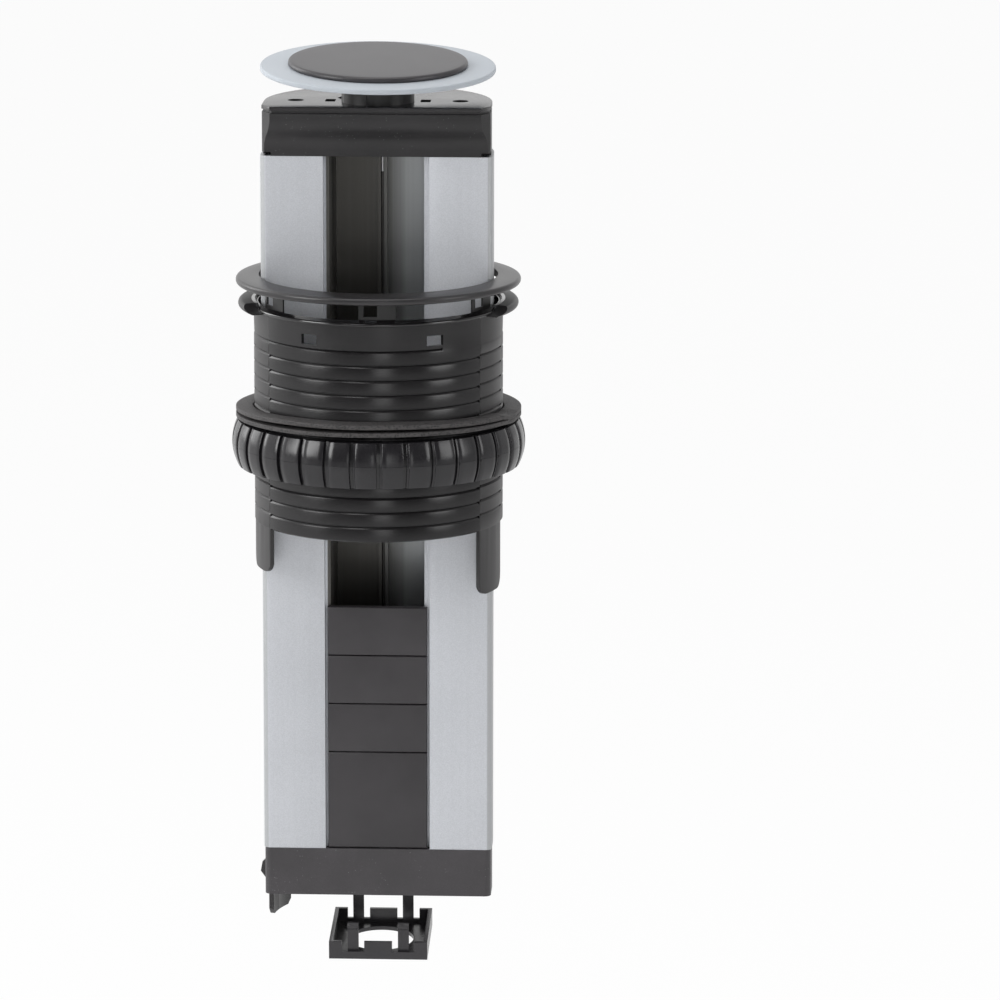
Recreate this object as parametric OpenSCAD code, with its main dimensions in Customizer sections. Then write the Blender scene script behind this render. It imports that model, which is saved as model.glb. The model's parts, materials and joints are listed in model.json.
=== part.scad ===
// Pull-up desk socket tower: an aluminium column of 45 mm module bays that slides in a threaded desk collar.
// The origin is on the collar's axis in the plane of the desk top; the front faces -Y and +Z is up.

/* [Desk collar] */
// Radius of the bore that guides the column
bore_r = 54; // [53.9:0.1:55]
// Wall of the collar at the bottom of its thread grooves
collar_wall = 1.1; // [1:0.1:1.6]
// Depth of the thread grooves, which is the height of the flat ribs between them
rib_h = 0.9; // [0.6:0.1:1.2]
// How far the collar reaches below the desk top
collar_drop = 97; // [93:1:110]
// Distance from one thread groove to the next
thread_pitch = 6.6; // [6:0.1:7.5]
// Height of the flat floor of a thread groove
groove_floor = 0.5; // [0.4:0.1:0.9]
// Height of the bevel below that floor
groove_bevel = 0.9; // [0.6:0.1:1.4]
// Depth of the first groove below the desk top
first_groove = 10.5; // [10.5:0.1:12]
// Height of the collar's upper band that centres it in the desk
register_h = 4.6; // [4:0.1:4.7]
// How far the wall draws in between that band and the first groove
band_draft = 0.15; // [0.05:0.05:0.3]
// Radius of the flange that rests on the desk top
flange_r = 63; // [62:0.5:66]
// Thickness of the flange
flange_t = 3.8; // [3:0.1:4.5]
// Half of the angle that the flange leaves free at the front, as the cable outlet
outlet_half_deg = 62; // [56:1:70]
// Radius of the scoop that thins each end of the flange
scoop_r = 13; // [9:0.5:16]
// Thickness that the scoop leaves at the flange's ends
scoop_edge = 0.6; // [0.4:0.1:1]
// Height of the sloping rim's inner edge above the desk top
rim_rise = 2.8; // [2:0.1:3.2]
// Slope of the rim, in degrees
rim_slope = 20; // [12:1:28]
// Width of the rim's lip beyond the ribs
rim_lip = 0.8; // [0.5:0.1:1.2]
// Width of each snap window at the front
window_w = 8; // [6:0.5:10]
// Height of each snap window
window_h = 4.5; // [3.5:0.5:5]
// Depth of the windows' middle below the desk top
window_drop = 7; // [6.5:0.1:7.4]
// Angle from the front to each snap window
window_deg = 30; // [24:1:36]

/* [Collar side strips] */
// Angle from the front at which each side strip starts
strip_from_deg = 57; // [52:1:62]
// Angle that each side strip covers
strip_span_deg = 25; // [18:1:30]
// How far the left strip's tongue hangs below the collar
tongue_left = 20.3; // [10:0.1:30]
// How far the right strip's tongue hangs below the collar
tongue_right = 29.6; // [15:0.1:40]
// Radius of the corners at the end of a tongue
tongue_corner_r = 6; // [3:0.5:8]
// How much higher the strips' thread grooves lie than the collar's
strip_shift = 0.9; // [0.5:0.1:1.5]
// Length of the glide strips that hold the column in the bore
glide_len = 66; // [40:1:75]
// Depth of the glide strips' top below the desk top
glide_drop = 24; // [20:1:28]
// Running clearance between a glide strip and the column
glide_fit = 0.1; // [0.05:0.01:0.2]

/* [Trim ring] */
// Outer radius of the trim ring
trim_r = 64; // [63:0.5:68]
// Thickness of the trim ring at its outer edge
trim_t = 3.2; // [2.6:0.1:4]
// Rise of the ring's top from its outer edge to its hole
trim_cone = 0.8; // [0.3:0.1:1.5]
// Height of the ring's underside above the flange
trim_lift = 7; // [4:0.5:9]
// Clearance between the trim ring's hole and the lid
trim_gap = 1; // [0.8:0.1:1.4]
// Number of legs on the trim ring
leg_count = 6; // [3:1:6]
// Thickness of the ring's legs
leg_t = 0.8; // [0.7:0.05:1]
// Clearance between the legs and the collar's bore
leg_fit = 0.1; // [0.08:0.01:0.15]
// Length of the legs below the ring
leg_len = 20; // [16:1:24]
// Height of the window in each leg
leg_window_h = 6.5; // [4:0.5:9]
// Angle of a leg's narrow bar
leg_narrow_deg = 2.4; // [2:0.1:4]
// Angle of a leg's window
leg_window_deg = 6.4; // [4:0.1:7]
// Angle of a leg's wide bar
leg_wide_deg = 8.8; // [6:0.1:10]
// Angle from the front to the first edge of the front leg
leg_start_deg = 6; // [3:0.5:9]

/* [Clamp nut and gaskets] */
// Largest radius of the barrel-shaped nut
nut_r = 66.1; // [65:0.1:69]
// Height of the nut
nut_h = 21; // [16:1:26]
// How much the nut's radius shrinks from its middle to its edges
nut_barrel = 2.6; // [1.5:0.1:4]
// Depth of the nut's top below the desk top
nut_drop = 50.5; // [44:0.5:60]
// Number of grip grooves around the nut
grip_count = 34; // [24:1:40]
// Width of a grip groove
grip_w = 1.6; // [1.2:0.1:2.4]
// Depth of a grip groove
grip_depth = 1.5; // [1:0.1:1.8]
// Angle of the first grip groove from the front
grip_phase_deg = 3.2; // [0:0.1:10]
// Running clearance between the nut and the collar's ribs
nut_fit = 0.08; // [0.04:0.01:0.1]
// Width of the nut's flat inner seat
nut_seat = 3; // [2:0.1:4]
// Depth of the round recess in the nut's top
nut_recess = 5; // [3:0.5:8]
// Outer radius of the two foam gaskets
gasket_r = 64.3; // [62:0.1:66]
// Thickness of each gasket
gasket_t = 2; // [1.5:0.1:3]
// Clearance between a gasket's hole and the collar's ribs
gasket_clear = 0.5; // [0.3:0.1:1]

/* [Column] */
// Radius of the column's round back
column_r = 51.9; // [51.5:0.1:52.1]
// Distance from the axis to the column's flat front
front_y = 15.5; // [14:0.5:16]
// Radius of the column's two front corners
corner_r = 3; // [2.5:0.5:4]
// Wall of the extrusion
wall = 2; // [1.6:0.1:2.4]
// Height of the column's top above the desk top
column_top = 69.8; // [60:0.1:80]
// Length of the column
column_len = 318.3; // [300:0.1:340]
// Radius of the screw bosses inside the column
boss_r = 4.2; // [3.8:0.1:4.6]
// Distance from the axis to each side screw
screw_x = 36.8; // [35:0.1:38]
// Distance of the side screws behind the axis
screw_y = 1; // [0:0.1:3]
// Radius of the screws' thread
screw_r = 1.9; // [1.5:0.1:2.2]
// Clearance between a screw and its hole
screw_fit = 0.1; // [0.05:0.01:0.15]
// Distance from the axis to the web behind the bays
web_y = 36; // [34:0.5:38]
// Width of the screw ridge on that web
ridge_w = 4.6; // [4.2:0.1:5.4]

/* [Module bays] */
// Width of a module
module_w = 45; // [44:0.1:46]
// Height of a small module
module_h = 22.5; // [20:0.1:24]
// Clearance on each side of a module in the front opening
module_gap = 1.2; // [0.8:0.1:1.4]
// Width of the ledge that carries a module on each side
ledge_w = 2.5; // [2:0.1:3]
// Thickness of a module's front plate
plate_t = 3.5; // [3:0.1:4]
// Depth of the module's front behind the column's front
module_sink = 0.5; // [0.3:0.1:1]
// Depth of a module's skirt behind its front plate
skirt_depth = 4.5; // [3:0.5:8]
// Gap between two modules
module_seam = 0.4; // [0.2:0.1:0.8]

/* [Head] */
// Radius of the head
head_r = 51.1; // [50.5:0.1:51.6]
// Height of the head with its top plate
head_h = 22.8; // [20:0.1:25]
// Distance from the axis to the head's front edge
head_front_y = 21; // [19:0.5:22]
// Width of the head's front edge
head_front_w = 94; // [90:0.5:95]
// Distance from the axis to where the head's chamfered corners start
cheek_y = 14; // [12:0.5:15]
// Thickness of the top plate
top_plate_t = 1.8; // [1.5:0.1:2.5]
// Height of the narrow band below the top plate
band_h = 1.2; // [0.8:0.1:2]
// Depth of the finger cove at its foot, behind the head's front edge
cove_depth = 5.3; // [4.5:0.1:6]
// Height over which the cove curves back
cove_h = 14.6; // [12:0.1:15.5]
// Upright stretch of the cove's face under the band
cove_drop = 1.8; // [1:0.1:2.5]
// Radius of the two round holes for the screws
screw_hole_r = 3.6; // [3.3:0.1:4]
// Distance from the axis to each square latch hole
latch_x = 21.3; // [21:0.1:24]
// Width of a latch hole
latch_w = 4.5; // [3:0.1:4.6]
// Length of a latch hole
latch_len = 8; // [5:0.5:10]

/* [Lid] */
// Radius of the frosted lid
glass_r = 52.6; // [52:0.1:52.6]
// Thickness of the frosted lid
glass_t = 2.5; // [2:0.1:3.5]
// Radius of the press disc on the lid
disc_r = 40.1; // [36:0.1:44]
// Thickness of the press disc
disc_t = 2.9; // [2.2:0.1:4]
// Radius of the neck that carries the lid
neck_r = 16.25; // [14:0.05:16.5]
// Wall of the neck
neck_wall = 2.2; // [1.6:0.1:3]
// Height of the lid's underside above the head
lid_lift = 13.8; // [13.6:0.1:16]
// Angle by which the lid is tipped at rest
lid_tip = 4.2; // [0:0.1:6]
// Direction in which it is tipped, from the front towards the right
lid_tip_dir = 10; // [-20:1:20]
// Radius of the pin on which the lid rocks
pin_r = 1.3; // [1:0.1:1.4]
// Running clearance around that pin
pin_fit = 0.06; // [0.03:0.01:0.1]
// Clearance between the neck and the top plate
neck_fit = 0.1; // [0.05:0.01:0.2]
// Radius of the lid spring's coil
spring_r = 6.2; // [5:0.1:6.4]
// Radius of the lid spring's wire
spring_wire_r = 0.7; // [0.4:0.1:0.8]
// Turns of the lid spring
spring_turns = 5; // [4:1:7]

/* [Base] */
// Radius of the base cap
base_r = 51.5; // [51:0.1:51.8]
// Height of the base cap
base_h = 21.8; // [18:0.1:26]
// Wall of the base cap
base_wall = 2.2; // [1.8:0.1:3]
// Width of the cable opening in the base cap
outlet_w = 38; // [34:1:40]
// Distance from the axis to the opening's rear edge
outlet_back_y = 28; // [26:0.5:28.5]
// Angle from the front to the stop latch on the left
stop_deg = 107.5; // [100:0.5:112]
// Width of the stop latch
stop_w = 22.5; // [16:0.5:24]
// How far the stop nose stands out of the base cap
stop_nose = 4; // [3.4:0.1:5]
// Height of the stop nose
stop_h = 11; // [8:1:14]
// How far the latch's tab hangs below the base cap
stop_tab = 15.5; // [10:0.5:20]

/* [Outlet frame] */
// Width of the outlet frame
frame_w = 45; // [44:0.1:46]
// Height of the frame's walls
frame_h = 8.3; // [6:0.1:11]
// Wall of the frame
frame_wall = 1.8; // [1.4:0.1:2.4]
// Radius of the cable hole in the frame
hole_r = 15; // [12:0.5:17]
// Distance from the axis to each leg
prong_x = 11.5; // [10:0.1:14]
// Width of a leg
prong_w = 5; // [4:0.1:6]
// Thickness of a leg
prong_t = 1.6; // [1.2:0.1:2]
// Height of the front legs above the frame's walls
prong_h = 8.7; // [6:0.1:11]
// Height of the rear hooks' middle above the frame's walls
hook_h = 21.5; // [16:0.1:24]
// Radius of the round bead at the end of a rear hook
bead_r = 0.7; // [0.5:0.1:0.8]
// Angle at which the frame hangs on its rear hooks
droop = 4.9; // [0:0.1:8]

/* [Terminal] */
// Length of the supply terminal block
terminal_w = 30; // [24:1:38]
// Height of the terminal block
terminal_h = 16; // [12:1:18]
// Depth of the terminal block
terminal_d = 12; // [8:1:14]
// Height of the terminal block's middle above the column's lower end
terminal_z = 24; // [20:1:40]

/* [Hidden] */

// Shared values
fine = 160;
round_fn = 48;
touch = 0.05;
rib_r = bore_r + collar_wall + rib_h;
root_r = rib_r - rib_h;
collar_bottom = -collar_drop;
column_bottom = column_top - column_len;
head_top = column_top + head_h;
plate_bottom = head_top - top_plate_t;
band_bottom = plate_bottom - band_h;
ledge_y = -front_y + module_sink + plate_t;
throat_half = module_w / 2 + module_gap - ledge_w;
mouth_half = module_w / 2 + module_gap;

// Points of an arc about (cx, cy), from angle a0 to a1
function arc(cx, cy, r, a0, a1, n = 8) =
  [for (i = [0:n]) let (a = a0 + (a1 - a0) * i / n) [cx + r * cos(a), cy + r * sin(a)]];

// Turns a profile through a sector; angles run from the front (-Y) towards the right (+X)
module turn(from, span) {
  rotate([0, 0, from - 90]) rotate_extrude(angle = span, $fn = fine) children();
}

// Solid wedge between two angles from the front, as wide as reach and from z0 to z1
module wedge(from, span, reach, z0, z1) {
  steps = max(1, ceil(span / 30));
  translate([0, 0, z0]) linear_extrude(z1 - z0)
    polygon(concat([[0, 0]],
      [for (i = [0:steps]) let (a = from + span * i / steps) reach * [sin(a), -cos(a)]]));
}

// Ring with a rectangular section
module ring(r_out, r_in, z0, z1) {
  translate([0, 0, z0]) difference() {
    cylinder(r = r_out, h = z1 - z0, $fn = fine);
    translate([0, 0, -1]) cylinder(r = r_in, h = z1 - z0 + 2, $fn = fine);
  }
}

// Outline of the column: a half circle behind and a flat front with round corners
module column_outline(r, front, corner) {
  polygon(concat(
    arc(0, 0, r, 0, 180, 2 * round_fn),
    arc(-r + corner, -front + corner, corner, 180, 270),
    arc(r - corner, -front + corner, corner, 270, 360)
  ));
}

// Buttress section of one thread groove whose upper edge is at z
module groove_section(z) {
  polygon([[root_r, z], [rib_r + 1, z], [rib_r + 1, z - groove_floor - groove_bevel],
    [rib_r, z - groove_floor - groove_bevel], [root_r, z - groove_floor]]);
}
last_groove = collar_bottom + groove_floor + groove_bevel + 1.5;

slot_top = -first_groove - groove_floor - groove_bevel;

// Collar and its strips share this wall section, down to the collar's lower end
lip_r = rib_r + rim_lip;
rim_drop = (lip_r - bore_r) * tan(rim_slope);
module wall_section(top_groove) {
  difference() {
    polygon(concat(
      [[bore_r, collar_bottom], [rib_r - 0.5, collar_bottom], [rib_r, collar_bottom + 0.5],
        [rib_r, slot_top - groove_floor], [rib_r - band_draft, slot_top + groove_bevel / 2],
        [rib_r, -register_h], [rib_r, touch]],
      arc(lip_r - 0.9, rim_rise - rim_drop - 0.9, 0.9, -60, 70),
      [[bore_r + 0.4, rim_rise], [bore_r, rim_rise - 0.4]]
    ));
    for (z = [top_groove : -thread_pitch : last_groove]) groove_section(z);
  }
}

flange_nose = flange_t / 2;
module flange_section() {
  polygon(concat([[rib_r - 0.5, 0]], arc(flange_r - flange_nose, flange_nose, flange_nose, -90, 90, 12),
    [[rib_r - 0.5, flange_t]]));
}

// Cuts both strips' slots out of the collar, from the first groove down
module strip_slots() {
  for (side = [-1, 1])
    wedge(side > 0 ? strip_from_deg : -strip_from_deg - strip_span_deg, strip_span_deg,
      bore_r * 2, collar_bottom - 1, slot_top);
}

first_groove_end = 34;
scoop_shift = 1;
module collar() {
  color([0.16, 0.16, 0.17]) difference() {
    union() {
      turn(0, 360) wall_section(-first_groove - thread_pitch);
      // flange, whose ends thin out in a scoop
      difference() {
        turn(outlet_half_deg, 360 - 2 * outlet_half_deg) flange_section();
        for (side = [-1, 1]) rotate([0, 0, side * outlet_half_deg])
          translate([side * scoop_shift, -bore_r, scoop_r + scoop_edge]) rotate([90, 0, 0])
            cylinder(r = scoop_r, h = flange_r, $fn = fine);
      }
    }
    // the first groove stops below the right window
    turn(strip_from_deg + strip_span_deg + 2, 358 - strip_from_deg - strip_span_deg + first_groove_end)
      groove_section(-first_groove);
    strip_slots();
    for (side = [-1, 1]) {
      rotate([0, 0, side * window_deg])
        translate([-window_w / 2, -rib_r - 1, -window_drop - window_h / 2])
          cube([window_w, collar_wall + rib_h + 3, window_h]);
    }
  }
}

tongue_sink = 0.15;
// One side strip: a thread sector that slides into the collar's slot and ends in a hanging tongue
module side_strip(from, tongue) {
  middle = from + strip_span_deg / 2;
  half_w = bore_r * tan(strip_span_deg / 2);
  tongue_bottom = collar_bottom - tongue;
  color([0.15, 0.15, 0.16]) intersection() {
    wedge(from, strip_span_deg, bore_r * 2, tongue_bottom - 1, slot_top);
    union() {
      turn(from - 1, strip_span_deg + 2) wall_section(-first_groove - thread_pitch + strip_shift);
      intersection() {
        turn(from - 1, strip_span_deg + 2)
          polygon([[bore_r, tongue_bottom], [rib_r - tongue_sink, tongue_bottom],
            [rib_r - tongue_sink, collar_bottom + 1], [bore_r, collar_bottom + 1]]);
        rotate([0, 0, middle]) translate([0, -bore_r / 2, 0]) rotate([90, 0, 0])
          linear_extrude(bore_r) polygon(concat(
            [[half_w + 4, collar_bottom + 2], [-half_w - 4, collar_bottom + 2]],
            arc(-half_w + tongue_corner_r, tongue_bottom + tongue_corner_r, tongue_corner_r, 180, 270),
            arc(half_w - tongue_corner_r, tongue_bottom + tongue_corner_r, tongue_corner_r, 270, 360)));
      }
    }
  }
}

module side_strip_left() side_strip(-strip_from_deg - strip_span_deg, tongue_left);
module side_strip_right() side_strip(strip_from_deg, tongue_right);

// Four glide strips between the bore and the column's round back
module glide_strips() {
  color([0.75, 0.75, 0.72]) for (a = [97, 140, 208, 251])
    turn(a, 12) polygon([[column_r + glide_fit, -glide_drop - glide_len], [bore_r, -glide_drop - glide_len],
      [bore_r, -glide_drop], [column_r + glide_fit, -glide_drop]]);
}

trim_bottom = flange_t + trim_lift;
trim_hole_r = glass_r + trim_gap;
leg_r = bore_r - leg_fit;
leg_bottom = trim_bottom - leg_len;
leg_deg = leg_narrow_deg + leg_window_deg + leg_wide_deg;
trim_nose = trim_t / 2 - 0.2;
trim_chamfer = 0.7;
leg_root = 1.3;
module trim_ring() {
  color([0.2, 0.2, 0.21]) difference() {
    union() {
      turn(0, 360) polygon(concat(
        [[trim_hole_r, trim_bottom + trim_chamfer], [trim_hole_r + trim_chamfer, trim_bottom]],
        arc(trim_r - trim_nose, trim_bottom + trim_nose, trim_nose, -90, 0, 6),
        arc(trim_r - trim_nose, trim_bottom + trim_t - trim_nose, trim_nose, 0, 88, 6),
        [[trim_hole_r + 0.5, trim_bottom + trim_t + trim_cone],
          [trim_hole_r, trim_bottom + trim_t + trim_cone - 0.5]]
      ));
      for (i = [0:leg_count - 1])
        turn(-leg_start_deg + i * 360 / leg_count, leg_deg)
          polygon([[leg_r - leg_t, leg_bottom], [leg_r, leg_bottom + 0.4],
            [leg_r, trim_bottom + leg_root], [leg_r - leg_t, trim_bottom + leg_root]]);
    }
    for (i = [0:leg_count - 1])
      wedge(-leg_start_deg + i * 360 / leg_count + leg_narrow_deg, leg_window_deg,
        leg_r + 1, trim_bottom - leg_window_h, trim_bottom);
  }
}

gasket_in_r = rib_r + gasket_clear;
nut_top = -nut_drop;
seat_z = nut_top + 0.6;
module gasket_lower() {
  color([0.13, 0.13, 0.13]) ring(gasket_r, gasket_in_r, seat_z, seat_z + gasket_t);
}
module gasket_upper() {
  color([0.12, 0.12, 0.12]) ring(gasket_r, gasket_in_r, seat_z + gasket_t, seat_z + 2 * gasket_t);
}

nut_bore_r = rib_r + nut_fit;
seat_r = nut_bore_r + nut_seat;
nut_mid = nut_top - nut_h / 2;
nut_bulge = (pow(nut_h / 2, 2) + pow(nut_barrel, 2)) / (2 * nut_barrel);
nut_half_deg = asin(nut_h / 2 / nut_bulge);
bevel_depth = 0.5;
bevel_w = 1;
nut_rim = 2.4;

// Section outside the nut's barrel, sunk into it by the depth of a cut
module grip_section(depth) {
  reach_deg = nut_half_deg * 1.15;
  polygon(concat(
    arc(nut_r - nut_bulge - depth, nut_mid, nut_bulge, -reach_deg, reach_deg, 6),
    [[nut_r + 2, nut_mid + nut_h], [nut_r + 2, nut_mid - nut_h]]
  ));
}

module clamp_nut() {
  shoulder_r = nut_r - nut_barrel - nut_rim;
  groove_deg = grip_w / nut_r * 180 / PI;
  bevel_deg = bevel_w / nut_r * 180 / PI;
  color([0.17, 0.17, 0.18]) difference() {
    turn(0, 360) polygon(concat(
      [[nut_bore_r, nut_top - nut_h + 1], [nut_bore_r + 1, nut_top - nut_h]],
      [[shoulder_r, nut_top - nut_h + 1]],
      arc(nut_r - nut_bulge, nut_mid, nut_bulge, -nut_half_deg, nut_half_deg, 10),
      [[shoulder_r, nut_top], [shoulder_r - 0.6, nut_top - nut_recess], [seat_r, nut_top - nut_recess],
        [seat_r, seat_z], [nut_bore_r + 0.4, seat_z], [nut_bore_r, seat_z - 0.4]]
    ));
    // grip grooves from the top to the bottom, each with a shallow ledge on its right
    for (i = [0:grip_count - 1]) {
      at_deg = grip_phase_deg + i * 360 / grip_count;
      turn(at_deg - groove_deg / 2, groove_deg) grip_section(grip_depth);
      turn(at_deg + groove_deg / 4, groove_deg / 4 + bevel_deg) grip_section(bevel_depth);
    }
  }
}

// Flat section of the extruded column
web_x = throat_half + wall * 0.8;
module side_chamber() {
  difference() {
    intersection() {
      column_outline(column_r - wall, front_y - wall, max(0.5, corner_r - wall));
      polygon([[mouth_half + wall, -front_y], [column_r, -front_y], [column_r, web_y], [web_x, web_y],
        [web_x, ledge_y + wall], [mouth_half + wall, ledge_y + wall]]);
    }
    translate([screw_x, screw_y]) circle(r = boss_r, $fn = round_fn);
    translate([screw_x, screw_y - wall / 2]) square([column_r - screw_x, wall]);
  }
}

ridge_y = web_y - ridge_w / 2 + 0.2;
ridge_hole_r = 1.25;
module column_section() {
  difference() {
    column_outline(column_r, front_y, corner_r);
    // bays, with a ledge on each side and two clip grooves in each side wall
    polygon([[-mouth_half, -front_y - 1], [mouth_half, -front_y - 1], [mouth_half, ledge_y],
      [throat_half, ledge_y], [throat_half, web_y], [-throat_half, web_y], [-throat_half, ledge_y],
      [-mouth_half, ledge_y]]);
    for (side = [-1, 1], y = [ledge_y + 7, ledge_y + 15])
      translate([side * throat_half, y]) circle(r = 0.6, $fn = 24);
    for (side = [0, 1])
      mirror([side, 0]) {
        side_chamber();
        translate([screw_x, screw_y]) circle(r = screw_r + screw_fit, $fn = round_fn);
      }
    // wire chamber behind the web
    intersection() {
      circle(r = column_r - wall, $fn = fine);
      translate([-column_r, web_y + wall]) square([column_r * 2, column_r]);
    }
  }
  // open screw ridge on the web
  difference() {
    translate([-ridge_w / 2, web_y - ridge_w]) square([ridge_w, ridge_w + touch]);
    translate([0, ridge_y]) circle(r = ridge_hole_r + screw_fit, $fn = round_fn);
    translate([-0.6, web_y - ridge_w - 1]) square([1.2, ridge_w / 2 + 1]);
  }
}

module column() {
  color([0.78, 0.79, 0.81])
    translate([0, 0, column_bottom]) linear_extrude(column_len) column_section();
}

// Outline of the head: a round back, straight sides and chamfered front corners
module head_outline(inset) {
  r = head_r - inset;
  polygon(concat(arc(0, 0, r, 0, 180, 2 * round_fn),
    [[-r, -cheek_y], [-head_front_w / 2 + inset, -head_front_y + inset],
      [head_front_w / 2 - inset, -head_front_y + inset], [r, -cheek_y]]));
}

module side_screw_places() {
  for (side = [-1, 1]) translate([side * screw_x, screw_y, 0]) children();
}

catch_len = 2.4;
catch_h = 0.9;
module head_top_plate() {
  color([0.17, 0.17, 0.18]) {
    difference() {
      translate([0, 0, plate_bottom]) linear_extrude(top_plate_t) head_outline(0);
      translate([0, 0, plate_bottom - 1]) cylinder(r = neck_r + neck_fit, h = top_plate_t + 2, $fn = fine);
      side_screw_places()
        translate([0, 0, plate_bottom - 1]) cylinder(r = screw_hole_r, h = top_plate_t + 2, $fn = round_fn);
      for (side = [-1, 1])
        translate([side * latch_x - latch_w / 2, screw_y - latch_len / 2, plate_bottom - 1])
          cube([latch_w, latch_len, top_plate_t + 2]);
    }
    // small ramp of the lid catch, beside the neck
    translate([-neck_r - catch_len, 12, head_top]) rotate([90, 0, 0]) linear_extrude(3)
      polygon([[0, -0.2], [catch_len, -0.2], [catch_len, catch_h], [0, 0.05]]);
  }
}

// Inside of the head: a well for the neck, with a spring seat at its bottom
shaft_r = 9.3;
shaft_wall = 1.8;
press_travel = 3;
skirt_bottom = plate_bottom - 1.9;
recess_z = skirt_bottom - press_travel - 0.2;
ear_reach = neck_r + 2;
ear_half = 7;
well_floor = column_top + 5.5;
screw_seat = column_top + 11;
cove_step = 0.5;
cove_lip = 0.4;
// Section in front of the cove's face, which goes down, curves back in an S and ends upright
module cove_cut() {
  back = cove_depth - cove_step;
  r = (pow(cove_h, 2) + pow(back, 2)) / (4 * back);
  half_deg = asin(cove_h / 2 / r);
  polygon(concat(
    [[-head_front_y, 0], [cove_step, 0]],
    arc(cove_step + r, -cove_drop, r, 180, 180 + half_deg, 8),
    arc(cove_depth - r, -cove_drop - cove_h, r, half_deg, 0, 8),
    [[cove_depth, -head_h], [-head_front_y, -head_h]]
  ));
}
module head_body() {
  color([0.15, 0.15, 0.16]) difference() {
    union() {
      translate([0, 0, column_top]) linear_extrude(band_bottom - column_top) head_outline(0.2);
      translate([0, 0, band_bottom - touch]) linear_extrude(band_h + touch) head_outline(0.9);
    }
    // finger cove across the front
    translate([-column_r - 1, -head_front_y, band_bottom - cove_lip]) rotate([90, 0, 90])
      linear_extrude(2 * column_r + 2) cove_cut();
    // well for the neck's shaft, round recess for its skirt and pockets for its two ears
    translate([0, 0, well_floor]) cylinder(r = shaft_r + neck_fit, h = head_h, $fn = fine);
    translate([0, 0, recess_z]) cylinder(r = neck_r + neck_fit, h = head_h, $fn = fine);
    translate([-ear_reach - 0.4, -ear_half - 0.4, recess_z])
      cube([2 * ear_reach + 0.8, 2 * ear_half + 0.8, head_h]);
    side_screw_places() {
      translate([0, 0, screw_seat]) cylinder(r = screw_hole_r, h = head_h, $fn = round_fn);
      translate([0, 0, column_top - 1]) cylinder(r = screw_r + screw_fit, h = head_h, $fn = round_fn);
    }
    translate([0, ridge_y, column_top - 1])
      cylinder(r = ridge_hole_r + screw_fit, h = head_h, $fn = round_fn);
    translate([0, ridge_y, screw_seat]) cylinder(r = 3, h = head_h, $fn = round_fn);
    for (side = [-1, 1]) {
      translate([side * latch_x - latch_w / 2, screw_y - latch_len / 2, column_top + head_h / 2])
        cube([latch_w, latch_len, head_h]);
      // small notch at each lower front corner
      translate([side * (column_r - 1) - 4, -head_front_y, column_top - 1]) cube([8, head_front_y - 8, 2.8]);
    }
  }
}

// Screw with a flat round head and a blind cross slot; z is the underside of its head
module screw(r, head_r2, head_t, len) {
  difference() {
    union() {
      cylinder(r = head_r2, h = head_t, $fn = 32);
      translate([0, 0, -len]) cylinder(r = r, h = len + touch, $fn = 32);
    }
    for (a = [0, 90]) rotate([0, 0, a])
      translate([-head_r2 * 0.6, -0.35, head_t * 0.5]) cube([head_r2 * 1.2, 0.7, head_t]);
  }
}

screw_head_t = 2.2;
screw_grip = 14;
module head_screws() {
  color([0.6, 0.6, 0.62]) side_screw_places()
    translate([0, 0, screw_seat])
      screw(screw_r, screw_hole_r - 0.3, screw_head_t, screw_seat - column_top + screw_grip);
}
module rear_head_screw() {
  color([0.6, 0.6, 0.62]) translate([0, ridge_y, screw_seat])
    screw(ridge_hole_r, 2.6, 1.8, screw_seat - column_top + screw_grip);
}

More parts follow.
